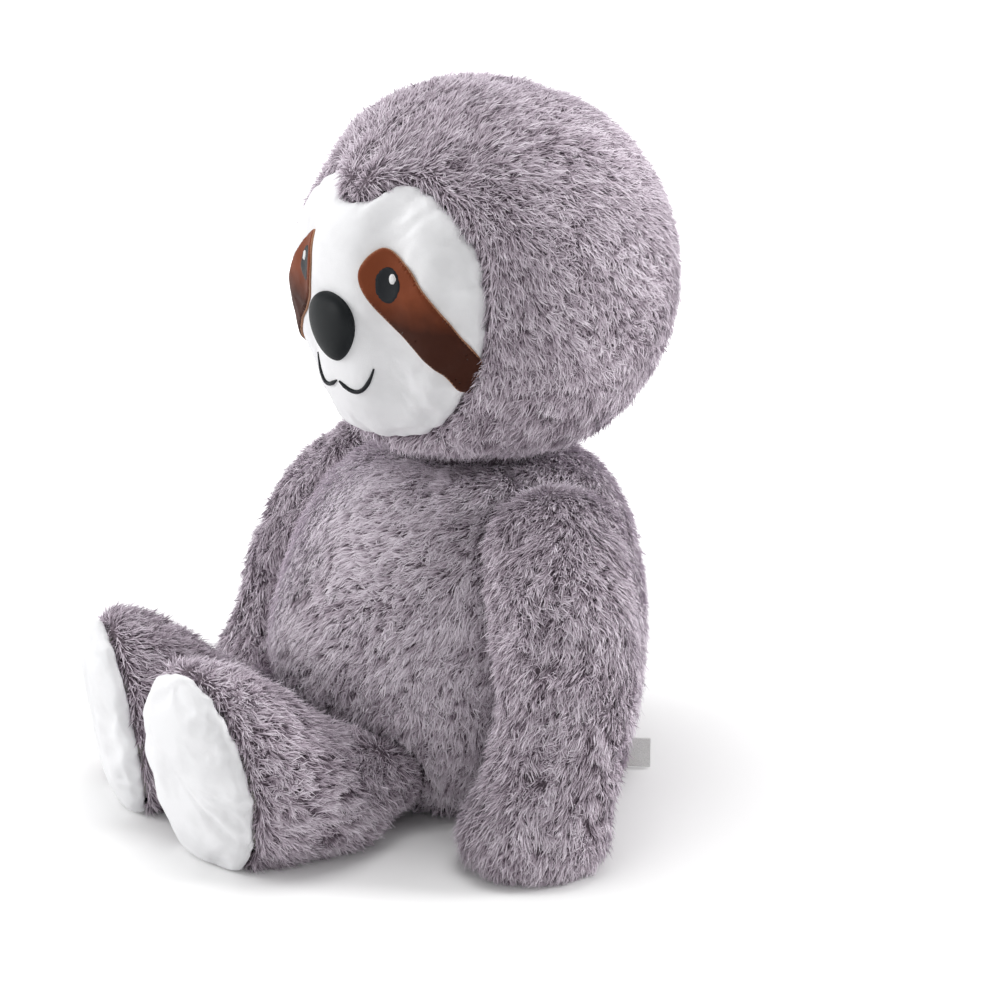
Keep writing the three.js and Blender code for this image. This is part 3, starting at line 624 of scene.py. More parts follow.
def make_cover(name, node, body, voxel, cap):
    """A panel of the skin as a rounded padded piece in place of its CAD node."""
    piece = copy_of(node, name + "_cover")
    remesh = piece.modifiers.new("Remesh", "REMESH")
    remesh.mode = "VOXEL"
    remesh.voxel_size = voxel
    relax = piece.modifiers.new("Relax", "SMOOTH")
    relax.factor = 0.5
    relax.iterations = 6
    apply_modifiers(piece)
    places = corners_of(piece.data)
    outer = outer_share(places, body)
    seam = seam_distances(places, node, body)
    if body == "head":
        away = places - np.array(HEAD_CENTRE)
        far = np.linalg.norm(away, axis=1, keepdims=True)
        wanted = head_reach(away / far)[:, None]
        share = (outer * smooth_step(seam, *HEAD_FORM_FREE))[:, None]
        places += away / far * (wanted - far) * share
        set_corners(piece.data, places)
    gap = distances(places, finder(other_bodies(body)), SEARCH)
    free = outer * smooth_step(seam, *SEAM_FREE) * smooth_step(gap, *BODY_FREE)
    if node == "face_panel":
        sideways, up = face_angles(places)
        free *= np.maximum(smooth_step(np.abs(sideways), *FACE_FREE_SIDEWAYS),
                           smooth_step(-up, *FACE_FREE_DOWN))
    swell_cover(piece, 1 - free, cap)
    places = corners_of(piece.data)
    places[:, 2] = np.maximum(places[:, 2], FLOOR_GAP)
    set_corners(piece.data, places)
    shade_smooth(piece)
    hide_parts(node)
    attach(piece, body)
    return piece


def gather_cloth(piece, node, body, centre, across, upward, gathers):
    """Presses soft gathers into a white panel, each from its seam towards the panel's middle.

    A gather is its turn round the middle, its width as an angle, its depth and its reach from the seam.
    """
    places = corners_of(piece.data)
    away = places - np.array(centre)
    turn = np.arctan2(away @ np.array(upward), away @ np.array(across))
    seam = seam_distances(places, node, body)
    depth = np.zeros(len(places))
    for angle, width, deep, reach in gathers:
        apart = (turn - angle + math.pi) % (2 * math.pi) - math.pi
        depth += deep * np.exp(-(apart / width) ** 2 - (seam / reach) ** 2)
    depth *= outer_share(places, body)
    set_corners(piece.data, places - normals_of(piece.data) * depth[:, None])


def other_bodies(body):
    """CAD covers of the other bodies, which the pile is squeezed against."""
    nodes = [n for _, n, b in FUR_PANELS + WHITE_PANELS if b != body]
    if body != "neck":
        nodes.append("neck_stuffing")
    return nodes


def combing(body, places, normals):
    """Direction along the surface in which each point's pile lies."""
    comb = np.tile([0.0, 0.0, -1.0], (len(places), 1))
    side = np.tanh(places[:, :1] / SIDE_BLEND)
    to_front = side * np.stack([normals[:, 1], -normals[:, 0], np.zeros(len(places))], axis=1)
    if body == "head":
        back = -np.array(face_direction(0, 0))
        high = places[:, 2:] - HEAD_CENTRE.z
        crown = smooth_step(high, *CROWN_HEIGHTS)
        jaw = smooth_step(-high, *JAW_DEPTHS)
        comb += back * (HEAD_BACK + CROWN_BACK * crown) + to_front * JAW_FORWARD * jaw
    elif body in ("torso", "neck"):
        comb += to_front * (FLANK_FORWARD + CHEST_FORWARD * smooth_step(places[:, 2:], *FLANK_HEIGHTS))
    elif body.endswith("leg"):
        tuck = np.array(HIP_TUCK)
        tuck[0] *= 1 if body == "left_leg" else -1
        from_tuck = places - tuck
        far = np.linalg.norm(from_tuck, axis=1, keepdims=True)
        spread = TUCK_SPREAD * from_tuck / far * np.exp(-(far / HIP_TUCK_REACH) ** 2)
        comb += np.array([0, LEG_BACK, 0]) + spread
    else:
        comb += to_front * ARM_FORWARD
    comb -= normals * (comb * normals).sum(axis=1, keepdims=True)
    return comb / np.maximum(np.linalg.norm(comb, axis=1, keepdims=True), 1e-6)


def brushing_and_painted_light(body, places, normals):
    """Where the pile lies flat from a brush and is made pale by painted light: down the belly on the toy's
    right, and across the chest.
    """
    if body != "torso":
        return np.zeros(len(places))
    chest = BRUSHED_LIT_CHEST * smooth_step(places[:, 2], *CHEST_HEIGHTS)
    front = smooth_step(-normals[:, 1], *BRUSHED_LIT_FORWARDS)
    front *= smooth_step(chest - normals[:, 0], *BRUSHED_LIT_SIDEWAYS)
    # The whole torso is a little paler, as painted light, and more so over the belly's front
    return BRUSHED_LIT_SIDES + BRUSHED_LIT_FRONT * front * smooth_step(places[:, 2], *BELLY_HEIGHTS)


def write_attribute(mesh, name, kind, values):
    attribute = mesh.attributes.new(name, kind, "POINT")
    key = "vector" if kind == "FLOAT_VECTOR" else "value"
    attribute.data.foreach_set(key, np.asarray(values, np.float32).ravel())


def make_tuft(settings, material):
    """One tuft of fibres: a slim kite, bent at its widest, that rises from its root and leans over."""
    bm = bmesh.new()
    bmesh.ops.create_circle(bm, cap_ends=True, radius=1, segments=4)
    for v, (along, across, rise) in zip(bm.verts, TUFT_SHAPE):
        v.co = (settings.length * along, settings.width * across, settings.length * settings.lift * rise)
    corners = bm.verts[:]
    bmesh.ops.connect_vert_pair(bm, verts=[corners[1], corners[3]])
    mesh = mesh_from(bm, "tuft")
    write_attribute(mesh, "along", "FLOAT", corners_of(mesh)[:, 0] / settings.length)
    mesh.materials.append(material)
    return new_object("tuft", mesh)


def pile_tree(settings, tuft):
    """Geometry nodes that plant tufts on a cover, comb them and draw them into locks."""
    tree = bpy.data.node_groups.new("Pile", "GeometryNodeTree")
    tree.interface.new_socket("Geometry", in_out="INPUT", socket_type="NodeSocketGeometry")
    tree.interface.new_socket("Seed", in_out="INPUT", socket_type="NodeSocketInt")
    tree.interface.new_socket("Geometry", in_out="OUTPUT", socket_type="NodeSocketGeometry")
    add = partial(add_node, tree)
    source = add("NodeGroupInput")
    planted, room, brushed, combed = (
        add("GeometryNodeInputNamedAttribute", {"Name": name}, data_type=kind) for name, kind in (
            ("planted", "FLOAT"), ("room", "FLOAT"), ("brushed", "FLOAT"), ("comb", "FLOAT_VECTOR")))
    lean_chance, rise_chance = (
        add("FunctionNodeRandomValue", {0: (-most,) * 3, 1: (most,) * 3, "Seed": seed},
            data_type="FLOAT_VECTOR") for most, seed in (TUFT_LEAN_CHANCE, TUFT_RISE_CHANCE))
    long_chance, tone_chance, wide_chance = (
        add("FunctionNodeRandomValue", {2: low, 3: high, "Seed": seed}, data_type="FLOAT").outputs[1]
        for low, high, seed in (TUFT_LENGTH_CHANCE, TUFT_TONE_CHANCE, TUFT_WIDTH_CHANCE))
    density = add(MATH, (planted, settings.per_area), operation="MULTIPLY")
    points = add("GeometryNodeDistributePointsOnFaces",
                 {"Mesh": source.outputs["Geometry"], "Density": density, "Seed": source.outputs["Seed"]},
                 distribute_method="RANDOM")
    normal = points.outputs["Normal"]
    place = add("GeometryNodeInputPosition")
    comb = add(VECTOR, (combed,), operation="NORMALIZE")
    crushed = add(MATH, (1.0, brushed), operation="SUBTRACT")

    # Locks are cells that are longer along the combing
    along = add(VECTOR, (place, comb), operation="DOT_PRODUCT").outputs["Value"]
    shrink = add(MATH, (along, 1 - settings.squeeze), operation="MULTIPLY")
    shift = add(VECTOR, {0: comb, "Scale": shrink}, operation="SCALE")
    squeezed = add(VECTOR, (place, shift), operation="SUBTRACT")
    lock = add("ShaderNodeTexVoronoi", {"Vector": squeezed, "Scale": 1 / settings.clump})
    apart = add(VECTOR, (lock.outputs["Position"], squeezed), operation="SUBTRACT")
    short = add(VECTOR, (apart, comb), operation="DOT_PRODUCT").outputs["Value"]
    stretch = add(MATH, (short, 1 / settings.squeeze - 1), operation="MULTIPLY")
    stretched = add(VECTOR, {0: comb, "Scale": stretch}, operation="SCALE")
    to_middle = add(VECTOR, (apart, stretched), operation="ADD")
    own = add("ShaderNodeSeparateXYZ", (lock.outputs["Color"],)).outputs["X"]
    edge = lock.outputs["Distance"]

    # A tuft lies along the combing, pushed to its lock's middle and turned by crushed patches
    swirl = add(NOISE, {"Vector": place, "Scale": PER_METRE["swirls"], "Detail": 2.0})
    swirled = add(MATH, (crushed, SWIRL_SHARE * settings.swirl), operation="MULTIPLY")
    turned = add(MATH, (crushed, OWN_TURN_SHARE * settings.own_turn), operation="MULTIPLY")
    pull = add(VECTOR, {0: to_middle, "Scale": settings.pull / settings.length}, operation="SCALE")
    lean = add(VECTOR, (comb, pull), operation="ADD")
    for colour, share in ((swirl.outputs["Color"], swirled), (lock.outputs["Color"], turned)):
        push = add(VECTOR, (colour, (0.5, 0.5, 0.5)), operation="SUBTRACT")
        push = add(VECTOR, {0: push, "Scale": share}, operation="SCALE")
        lean = add(VECTOR, (lean, push), operation="ADD")
    lean = add(VECTOR, (lean, lean_chance), operation="ADD")
    upright = add(VECTOR, (lean, normal), operation="DOT_PRODUCT").outputs["Value"]
    rise = add(VECTOR, {0: normal, "Scale": upright}, operation="SCALE")
    lean = add(VECTOR, (lean, rise), operation="SUBTRACT")
    out = add(VECTOR, (normal, rise_chance), operation="ADD")
    turn = add("FunctionNodeAxesToRotation", (out, lean), primary_axis="Z", secondary_axis="X")

    # Tufts are short where there is no room, and low at a lock's edge, in a parting and where brushed
    far = add(VECTOR, (lean,), operation="LENGTH").outputs["Value"]
    far = add(MATH, (far, TUFT_STRETCH[0]), operation="MAXIMUM")
    far = add(MATH, (far, TUFT_STRETCH[1]), operation="MINIMUM")
    folds = add(NOISE, {"Vector": squeezed, "Scale": PER_METRE["partings"], "Detail": 1.5})
    from_fold = add(MATH, (folds, 0.5), operation="SUBTRACT")
    from_fold = add(MATH, (from_fold,), operation="ABSOLUTE")
    parting = add("ShaderNodeMapRange", {"Value": from_fold, "From Max": PARTING_WIDTH,
                                         "To Min": crushed, "To Max": 0.0})
    long = add(MATH, (long_chance, room), operation="MULTIPLY")
    reach = add(MATH, (long, far), operation="MULTIPLY")
    flat = add(MATH, (brushed, -LOWER["brushed"], 1.0), operation="MULTIPLY_ADD")
    flat = add(MATH, (parting, -LOWER["parting"], flat), operation="MULTIPLY_ADD")
    tall = add(MATH, (own, *LOCK_HEIGHT), operation="MULTIPLY_ADD")
    lower = add(MATH, (edge, LOWER["edge"]), operation="MULTIPLY")
    tall = add(MATH, (tall, lower), operation="SUBTRACT")
    tall = add(MATH, (tall, flat), operation="MULTIPLY")
    tall = add(MATH, (long, tall), operation="MULTIPLY")
    size = add("ShaderNodeCombineXYZ", (reach, wide_chance, tall))
    shape = add("GeometryNodeObjectInfo", {"Object": tuft}).outputs["Geometry"]
    tufts = add("GeometryNodeInstanceOnPoints",
                {"Points": points, "Instance": shape, "Rotation": turn, "Scale": size})

    # Painted shade darkens them at a lock's edge and in a parting; their own tone, and painted light where
    # the pile lies flat, make them paler
    tone_and_painted_light = add(MATH, (brushed, PALER["brushed"], tone_chance), operation="MULTIPLY_ADD")
    tone_and_painted_light = add(MATH, (own, PALER["own"], tone_and_painted_light), operation="MULTIPLY_ADD")
    painted_shade = add(MATH, (parting, PAINTED_SHADE["parting"]), operation="MULTIPLY")
    painted_shade = add(MATH, (edge, PAINTED_SHADE["edge"], painted_shade), operation="MULTIPLY_ADD")
    tone = add(MATH, (tone_and_painted_light, painted_shade), operation="SUBTRACT")
    for name, value, kind in (("tone", tone, "FLOAT"), ("outward", normal, "FLOAT_VECTOR")):
        tufts = add("GeometryNodeStoreNamedAttribute", {"Geometry": tufts, "Name": name, "Value": value},
                    data_type=kind, domain="INSTANCE")
    real = add("GeometryNodeRealizeInstances", (tufts,))

    # Nothing grows through the floor
    spot = add("ShaderNodeSeparateXYZ", (place,))
    height = add(MATH, (spot.outputs["Z"], PILE_FLOOR), operation="MAXIMUM")
    pressed = add("ShaderNodeCombineXYZ", (spot.outputs["X"], spot.outputs["Y"], height))
    moved = add("GeometryNodeSetPosition", {"Geometry": real, "Position": pressed})
    add("NodeGroupOutput", (moved,))
    return tree


def soften_shading(piece, own_share):
    """Turns each tuft's shading towards the surface it grows from, as a deep pile spreads light."""
    mesh = piece.data
    outward = np.zeros(len(mesh.vertices) * 3)
    mesh.attributes["outward"].data.foreach_get("vector", outward)
    outward = outward.reshape(-1, 3)
    mesh.attributes.remove(mesh.attributes["outward"])
    shade_smooth(piece)
    own = normals_of(mesh)
    facing = np.where((own * outward).sum(axis=1, keepdims=True) < 0, -1, 1)
    shading = outward + own * facing * own_share
    shading /= np.linalg.norm(shading, axis=1, keepdims=True)
    mesh.normals_split_custom_set_from_vertices(shading)


def make_pile(name, cover, body, tree, seed):
    """The pile of one panel, combed and squeezed by what is next to it."""
    mesh = cover.data.copy()
    piece = new_object(name + "_pile", mesh)
    places = corners_of(mesh)
    normals = normals_of(mesh)
    gap = distances(places, finder(other_bodies(body)), SEARCH)
    outer = outer_share(places, body) if body in STUFFED_BODIES else np.ones(len(places))
    sits = smooth_step(places[:, 2], *FLOOR_HEIGHTS) + smooth_step(normals[:, 2], *UNDERSIDE)
    room = SHORTEST_PILE + (1 - SHORTEST_PILE) * smooth_step(gap, *ROOM_GAPS)
    shown = SEAT_PILE if name == "seat" else 1.0
    loose = smooth_step(gap, *PLANTED_GAPS) * np.clip(sits, 0, 1)
    planted = shown * outer * (PRESSED_PILE + (1 - PRESSED_PILE) * loose)
    write_attribute(mesh, "comb", "FLOAT_VECTOR", combing(body, places, normals))
    write_attribute(mesh, "brushed", "FLOAT", brushing_and_painted_light(body, places, normals))
    write_attribute(mesh, "room", "FLOAT", room)
    write_attribute(mesh, "planted", "FLOAT", planted)
    nodes = piece.modifiers.new("Pile", "NODES")
    nodes.node_group = tree
    nodes["Socket_1"] = seed
    apply_modifiers(piece)
    soften_shading(piece, OWN_SHADING)
    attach(piece, body)
    return piece


# Face details

def face_heights():
    """How far the sewn face stands over the head's plain form, looked up smoothly by direction."""
    away = corners_of(bpy.data.objects["face_cover"].data) - np.array(HEAD_CENTRE)
    far = np.linalg.norm(away, axis=1)
    directions = away / far[:, None]
    heights = far - head_reach(directions)
    outer = heights > -0.5 * COVER_THICKNESS
    heights = heights[outer]
    tree = KDTree(len(heights))
    for k, direction in enumerate(directions[outer]):
        tree.insert(direction, k)
    tree.balance()
    neighbours = 14
    blur = 0.022

    def height_at(direction):
        near = tree.find_n(direction, neighbours)
        weights = [math.exp(-((far / blur) ** 2)) + 1e-6 for _, _, far in near]
        return sum(w * heights[k] for w, (_, k, _) in zip(weights, near)) / sum(weights)

    return height_at


def on_face(spots, height_at, offset=0.0):
    """Points on the sewn face, from places in metres across and up it."""
    directions = [face_direction(x / FACE_RADIUS, y / FACE_RADIUS) for x, y in spots]
    reach = head_reach(np.array(directions))
    return [HEAD_CENTRE + d * (r + height_at(d) + offset) for d, r in zip(directions, reach)]


def smooth_loop(corners, per_span=12):
    """A smooth closed line through face angles, in metres across and up the face."""
    spots = [Vector((math.radians(x), math.radians(y), 0)) * FACE_RADIUS for x, y in corners]
    loop = []
    for k, spot in enumerate(spots):
        before, after, beyond = spots[k - 1], spots[(k + 1) % len(spots)], spots[(k + 2) % len(spots)]
        loop += interpolate_bezier(spot, spot + (after - before) / 6, after - (beyond - spot) / 6,
                                   after, per_span + 1)[:-1]
    return [spot.to_2d() for spot in loop]


def oval_loop(place, width, height, count=64):
    """An oval on the face."""
    across, up = (math.radians(angle) for angle in place)
    turns = [2 * math.pi * k / count for k in range(count)]
    return [Vector((across * FACE_RADIUS + 0.5 * width * math.cos(t) / math.cos(up),
                    up * FACE_RADIUS + 0.5 * height * math.sin(t))) for t in turns]


def mirrored(loop):
    return [Vector((-x, y)) for x, y in reversed(loop)]


def rim_distances(places, rim):
    """Distance from flat points to a closed line."""
    start = np.array(rim)
    span = np.roll(start, -1, axis=0) - start
    away = places[:, None, :] - start[None]
    share = np.clip((away * span).sum(2) / (span * span).sum(1), 0, 1)
    return np.linalg.norm(away - share[:, :, None] * span, axis=2).min(axis=1)


def layer_on_face(name, rim, height_at, offset, thickness, edge):
    """A thin layer of cloth or stitches inside an outline, laid on the face and rounded at its edge."""
    bm = bmesh.new()
    bmesh.ops.create_circle(bm, cap_ends=True, radius=1, segments=len(rim))
    for v, place in zip(bm.verts, rim):
        v.co = place.to_3d()
    inner = bm.faces[:]
    for share in EDGE_RINGS:
        bmesh.ops.inset_region(bm, faces=inner, thickness=share * edge, use_even_offset=True)
    bmesh.ops.triangulate(bm, faces=inner)
    low, high = np.min(rim, axis=0), np.max(rim, axis=0)
    for axis, normal in ((0, (1, 0, 0)), (1, (0, 1, 0))):
        for value in np.arange(low[axis] + LAYER_SPACING, high[axis], LAYER_SPACING):
            bmesh.ops.bisect_plane(bm, geom=bm.verts[:] + bm.edges[:] + bm.faces[:], dist=0.02 * MM,
                                   plane_co=Vector(normal) * value, plane_no=normal)
    bmesh.ops.triangulate(bm, faces=bm.faces)
    mesh = mesh_from(bm, name)
    flat = corners_of(mesh)[:, :2]
    away = np.clip(rim_distances(flat, rim) / edge, 0, 1)
    laid = np.array(on_face(flat, height_at, offset))
    out = laid - np.array(HEAD_CENTRE)
    out /= np.linalg.norm(out, axis=1, keepdims=True)
    rise = thickness * np.sqrt(1 - (1 - away) ** 2)
    set_corners(mesh, laid + out * rise[:, None])
    piece = new_object(name, mesh)
    skin = piece.modifiers.new("Skin", "SOLIDIFY")
    skin.thickness = offset + LAYER_SINK
    skin.offset = -1
    apply_modifiers(piece)
    shade_smooth(piece)
    return piece


def cord_along(name, path, radius, closed):
    """A round cord of stitches through a path."""
    curve = bpy.data.curves.new(name, "CURVE")
    curve.dimensions = "3D"
    curve.bevel_depth = radius
    curve.bevel_resolution = 3
    curve.use_fill_caps = not closed
    line = curve.splines.new("POLY")
    line.points.add(len(path) - 1)
    line.use_cyclic_u = closed
    for k, (spot, place) in enumerate(zip(line.points, path)):
        spot.co = (*place, 1)
        if not closed:
            from_end = min(k, len(path) - 1 - k)
            spot.radius = CORD_TIP + (1 - CORD_TIP) * min(1, from_end / CORD_TAPER)
    piece = new_object(name, curve)
    graph = bpy.context.evaluated_depsgraph_get()
    mesh = bpy.data.meshes.new_from_object(piece.evaluated_get(graph))
    bpy.data.objects.remove(piece)
    solid = new_object(name, mesh)
    mesh.name = name
    shade_smooth(solid)
    return solid


# Stage

def look_back(name, data, place, away):
    """Puts a camera or a lamp at a place, facing against a direction."""
    thing = new_object(name, data)
    thing.matrix_world = Matrix.Translation(place) @ away.to_track_quat("Z", "Y").to_matrix().to_4x4()
    return thing


def floor_material():
    """Pale paper that takes shadows, and that glows to the eye more and more away from the toy."""
    material, add, shader, place = new_material("Pale studio floor")
    material.node_tree.nodes.remove(shader)
    paper = add("ShaderNodeBsdfDiffuse", {"Color": (0.9, 0.9, 0.9, 1.0)})
    away = add(VECTOR, (place,), operation="LENGTH").outputs["Value"]
    share = add(MATH, (away, GLOW_REACH), operation="DIVIDE")
    stops = [(at, (grey, grey, grey, 1)) for at, grey in FLOOR_GLOW]
    fade = add(RAMP, {"Fac": share}, stops)
    glow = add("ShaderNodeEmission", {"Color": fade, "Strength": 1.0})
    both = add("ShaderNodeAddShader", (paper, glow))
    rays = add("ShaderNodeLightPath")
    seen = add(MATH, (rays.outputs["Is Camera Ray"], rays.outputs["Is Glossy Ray"]),
               operation="MAXIMUM")
    shown = add(MATH, (seen, rays.outputs["Is Transmission Ray"]), operation="MAXIMUM")
    mixed = add("ShaderNodeMixShader", (shown, paper, both))
    set_inputs(material.node_tree.nodes["Material Output"], {"Surface": mixed})
    return material


def studio_world():
    """A soft white room that the eye sees brighter than it lights."""
    world = bpy.data.worlds.new("studio")
    world.use_nodes = True
    nodes = world.node_tree.nodes
    add = partial(add_node, world.node_tree)
    plain = nodes["Background"]
    set_inputs(plain, {"Color": (1, 1, 1, 1), "Strength": 0.5})
    bright = add("ShaderNodeBackground", {"Color": (1, 1, 1, 1), "Strength": 1.0})
    rays = add("ShaderNodeLightPath")
    seen = add(MATH, (rays.outputs["Is Camera Ray"], rays.outputs["Is Transmission Ray"]),
               operation="MAXIMUM")
    mixed = add("ShaderNodeMixShader", (seen, plain, bright))
    set_inputs(nodes["World Output"], {"Surface": mixed})
    return world


# Operators

class PLUSH_OT_stage(bpy.types.Operator):
    """Floor, soft studio light and the camera"""
    bl_idname = "plush.stage"
    bl_label = "Stage"

    def execute(self, context):
        settings = context.scene.plush_stage
        flat = settings.elevation
        back = Vector((math.sin(settings.azimuth) * math.cos(flat),
                       -math.cos(settings.azimuth) * math.cos(flat), math.sin(flat)))
        camera = bpy.data.cameras.new("camera")
        camera.lens = settings.focal
        camera.sensor_width = 36
        camera.sensor_fit = "HORIZONTAL"
        view = look_back("camera", camera, LOOKED_AT + back * settings.distance, back)
        context.scene.camera = view
        bm = bmesh.new()
        bmesh.ops.create_grid(bm, x_segments=1, y_segments=1, size=FLOOR_HALF)
        floor = mesh_from(bm, "floor")
        floor.materials.append(floor_material())
        new_object("floor", floor)
        context.scene.world = studio_world()
        for name, place, size, power in LAMPS:
            light = bpy.data.lights.new(name, "AREA")
            light.shape = "DISK"
            light.size = size
            light.energy = power
            look_back(name, light, Vector(place), Vector(place) - LOOKED_AT)
        context.scene.view_settings.view_transform = "Standard"
        return {"FINISHED"}


class PLUSH_OT_covers(bpy.types.Operator):
    """Padded covers of the body, head and limbs, under the pile"""
    bl_idname = "plush.covers"
    bl_label = "Covers"

    def execute(self, context):
        settings = context.scene.plush_cloth
        backing = backing_material(settings)
        for name, node, body in FUR_PANELS:
            cover = make_cover(name, node, body, FUR_VOXEL, settings.swell)
            cover.data.materials.append(backing)
        neck = copy_of("neck_stuffing", "neck_cover")
        smooth = neck.modifiers.new("Smooth", "SUBSURF")
        smooth.levels = smooth.render_levels = 1
        apply_modifiers(neck)
        shade_smooth(neck)
        neck.data.materials.append(backing)
        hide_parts("neck_stuffing")
        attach(neck, "neck")
        return {"FINISHED"}


class PLUSH_OT_white(bpy.types.Operator):
    """White plush of the face and the soles"""
    bl_idname = "plush.white"
    bl_label = "Face and soles"

    def execute(self, context):
        settings = context.scene.plush_cloth
        white = white_material(settings)
        chance = np.random.default_rng(5)
        for name, node, body in WHITE_PANELS:
            cover = make_cover(name, node, body, WHITE_VOXEL, settings.swell)
            finer = cover.modifiers.new("Finer", "SUBSURF")
            finer.levels = finer.render_levels = 1
            apply_modifiers(cover)
            shade_smooth(cover)
            if name == "face":
                middle = HEAD_CENTRE + face_direction(0, -NOSE_DROP) * FACE_RADIUS
                across = Matrix.Rotation(HEAD_TURN, 3, "Z") @ Vector((1, 0, 0))
                gathers = [(math.radians(turn + chance.uniform(*GATHER_STRAY)),
                            chance.uniform(*GATHER_WIDTH), chance.uniform(*GATHER_DEPTH) * MM,
                            chance.uniform(*GATHER_REACH) * MM) for turn in FACE_GATHERS]
            else:
                low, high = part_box(node)
                middle = (low + high) / 2
                across = Vector((1 if name == "left_sole" else -1, 0, 0))
                gathers = [(math.radians(turn), width, deep * MM, reach * MM)
                           for turn, width, deep, reach in SOLE_GATHERS]
            gather_cloth(cover, node, body, middle, across, (0, 0, 1), gathers)
            cover.data.materials.append(white)
        return {"FINISHED"}


class PLUSH_OT_pile(bpy.types.Operator):
    """Long faux-fur pile on every fur panel"""
    bl_idname = "plush.pile"
    bl_label = "Pile"

    def execute(self, context):
        settings = context.scene.plush_pile
        tuft = make_tuft(settings, fur_material(settings))
        tree = pile_tree(settings, tuft)
        for seed, (name, node, body) in enumerate(FUR_PANELS):
            make_pile(name, bpy.data.objects[name + "_cover"], body, tree, seed)
        make_pile("neck", bpy.data.objects["neck_cover"], "neck", tree, len(FUR_PANELS))
        bpy.data.objects.remove(tuft)
        return {"FINISHED"}


class PLUSH_OT_eyes(bpy.types.Operator):
    """Velour eye patches, embroidered eyes and their glints"""
    bl_idname = "plush.eyes"
    bl_label = "Eyes"

    def execute(self, context):
        settings = context.scene.plush_cloth
        height_at = face_heights()
        stitch = 0.5 * MM
        velour = velour_material(settings)
        edging = thread_material("Rayon edging", settings.patch_edge, 0.5, stitch, "Z")
        thread = thread_material("Rayon eye thread", settings.thread, 0.5, stitch)
        glint = thread_material("Rayon glint thread", settings.glint, 0.35, stitch)
        patch = smooth_loop(EYE_PATCH)
        eye = oval_loop(EYE_PLACE, *EYE_SIZE)
        shine = oval_loop(GLINT_PLACE, *GLINT_SIZE, 32)
        # Each layer's name, CAD node, outline, offset from the face, thickness, edge, cloth and slot
        layers = (
            ("eye_patch_cover_", "eye_patch_", patch, 0.3 * MM, 1.2 * MM, 1.5 * MM, velour, "patch_cloth"),
            ("eye_stitches_", "eye_", eye, 1.4 * MM, 1.0 * MM, 1.8 * MM, thread, "eye_thread"),
            ("eye_glint_stitches_", "eye_glint_", shine, 2.2 * MM, 0.8 * MM, 1.0 * MM, glint,
             "glint_thread"),
        )
        for side in ("left", "right"):
            for name, node, loop, offset, thickness, edge, material, slot in layers:
                rim = loop if side == "left" else mirrored(loop)
                layer = layer_on_face(name + side, rim, height_at, offset, thickness, edge)
                layer.data.materials.append(material)
                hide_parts(node + side)
                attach(layer, "head")
            rim = patch if side == "left" else mirrored(patch)
            path = on_face(rim, height_at, EDGING_HEIGHT)
            cord = cord_along("eye_patch_edging_" + side, path, EDGING_RADIUS, True)
            cord.data.materials.append(edging)
            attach(cord, "head")
        return {"FINISHED"}


class PLUSH_OT_mouth(bpy.types.Operator):
    """Smile of two embroidered strokes"""
    bl_idname = "plush.mouth"
    bl_label = "Mouth"

    def execute(self, context):
        settings = context.scene.plush_cloth
        height_at = face_heights()
        thread = thread_material("Rayon mouth thread", settings.thread, 0.5, 0.6 * MM)
        for side, name in ((1, "left"), (-1, "right")):
            path = []
            for share in (k / 32 for k in range(33)):
                sag = MOUTH_SAG * math.sin(math.pi * share) - MOUTH_HOOK * share ** 6
                path.append((side * (MOUTH_START + MOUTH_LENGTH * share) * MM, -MOUTH_DROP - sag * MM))
            laid = on_face(path, height_at, MOUTH_HEIGHT)
            stroke = cord_along("mouth_stitches_" + name, laid, MOUTH_RADIUS, False)
            stroke.data.materials.append(thread)
            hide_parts("mouth_stitch_" + name)
            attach(stroke, "head")
        return {"FINISHED"}


class PLUSH_OT_nose(bpy.types.Operator):
    """Padded satin nose"""
    bl_idname = "plush.nose"
    bl_label = "Nose"

    def execute(self, context):
        settings = context.scene.plush_cloth
        out = face_direction(0, -NOSE_DROP)
        side = Vector((0, 0, 1)).cross(out).normalized()
        basis = Matrix((side, out.cross(side), out)).transposed().to_4x4()
        centre = on_face([(0, -NOSE_DROP * FACE_RADIUS)], face_heights())[0]
        bm = bmesh.new()
        bmesh.ops.create_uvsphere(bm, u_segments=48, v_segments=32, radius=1)
        for v in bm.verts:
            v.co.x *= 1 + NOSE_TAPER * v.co.y
        bmesh.ops.scale(bm, vec=NOSE_HALF, verts=bm.verts)
        bmesh.ops.transform(bm, matrix=Matrix.Translation(centre) @ basis, verts=bm.verts)
        nose = new_object("nose_satin_pad", mesh_from(bm, "nose_satin_pad"))
        shade_smooth(nose)
        nose.data.materials.append(thread_material("Black satin", settings.nose, 0.5, 0.35 * MM))
        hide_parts("nose_pad")
        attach(nose, "head")
        return {"FINISHED"}


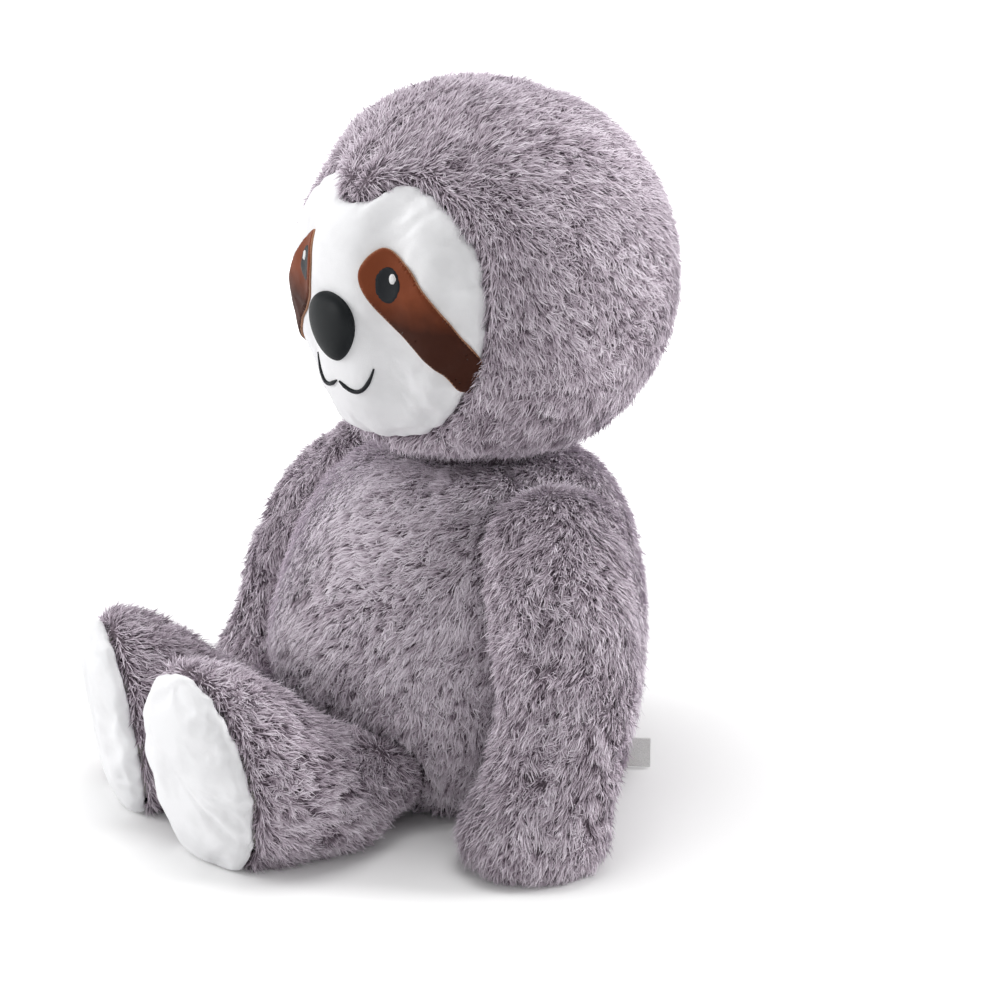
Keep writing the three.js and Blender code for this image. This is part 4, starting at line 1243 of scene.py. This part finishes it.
class PLUSH_OT_inside(bpy.types.Operator):
    """Label, stuffing, bead bags and beads"""
    bl_idname = "plush.inside"
    bl_label = "Label and filling"

    def execute(self, context):
        looks = {
            "stuffing": plain_cloth_material("Polyester fibre fill", "#ebe8e2", 2 * MM, 1.0),
            "bead_bag": plain_cloth_material("Cotton bag cloth", "#d8d2c4", 0.6 * MM),
            "care_label": plain_cloth_material("Satin label ribbon", "#f4f4f2", 0.5 * MM, 0.45),
            "beads": bead_material(),
        }
        for name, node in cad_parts.items():
            for ending, material in looks.items():
                if name.endswith(ending):
                    node.data.materials.clear()
                    node.data.materials.append(material)
        return {"FINISHED"}


class PLUSH_PT_panel(bpy.types.Panel):
    bl_label = "Weighted plush sloth"
    bl_idname = "PLUSH_PT_panel"
    bl_space_type = "VIEW_3D"
    bl_region_type = "UI"
    bl_category = "Plush"

    def draw(self, context):
        scene = context.scene
        for settings in (scene.plush_stage, scene.plush_cloth, scene.plush_pile):
            box = self.layout.box()
            for name in settings.__annotations__:
                box.prop(settings, name)
        for operator in OPERATORS:
            self.layout.operator(operator.bl_idname)


OPERATORS = (
    PLUSH_OT_stage,
    PLUSH_OT_covers,
    PLUSH_OT_white,
    PLUSH_OT_pile,
    PLUSH_OT_eyes,
    PLUSH_OT_mouth,
    PLUSH_OT_nose,
    PLUSH_OT_inside,
)
CLASSES = (PileSettings, ClothSettings, StageSettings, *OPERATORS, PLUSH_PT_panel)


def register():
    for item in CLASSES:
        bpy.utils.register_class(item)
    bpy.types.Scene.plush_pile = bpy.props.PointerProperty(type=PileSettings)
    bpy.types.Scene.plush_cloth = bpy.props.PointerProperty(type=ClothSettings)
    bpy.types.Scene.plush_stage = bpy.props.PointerProperty(type=StageSettings)


def unregister():
    del bpy.types.Scene.plush_pile
    del bpy.types.Scene.plush_cloth
    del bpy.types.Scene.plush_stage
    for item in reversed(CLASSES):
        bpy.utils.unregister_class(item)


def main():
    register()
    bpy.ops.plush.stage()
    bpy.ops.plush.covers()
    bpy.ops.plush.white()
    bpy.ops.plush.pile()
    bpy.ops.plush.eyes()
    bpy.ops.plush.mouth()
    bpy.ops.plush.nose()
    bpy.ops.plush.inside()


if __name__ == "__main__":
    main()
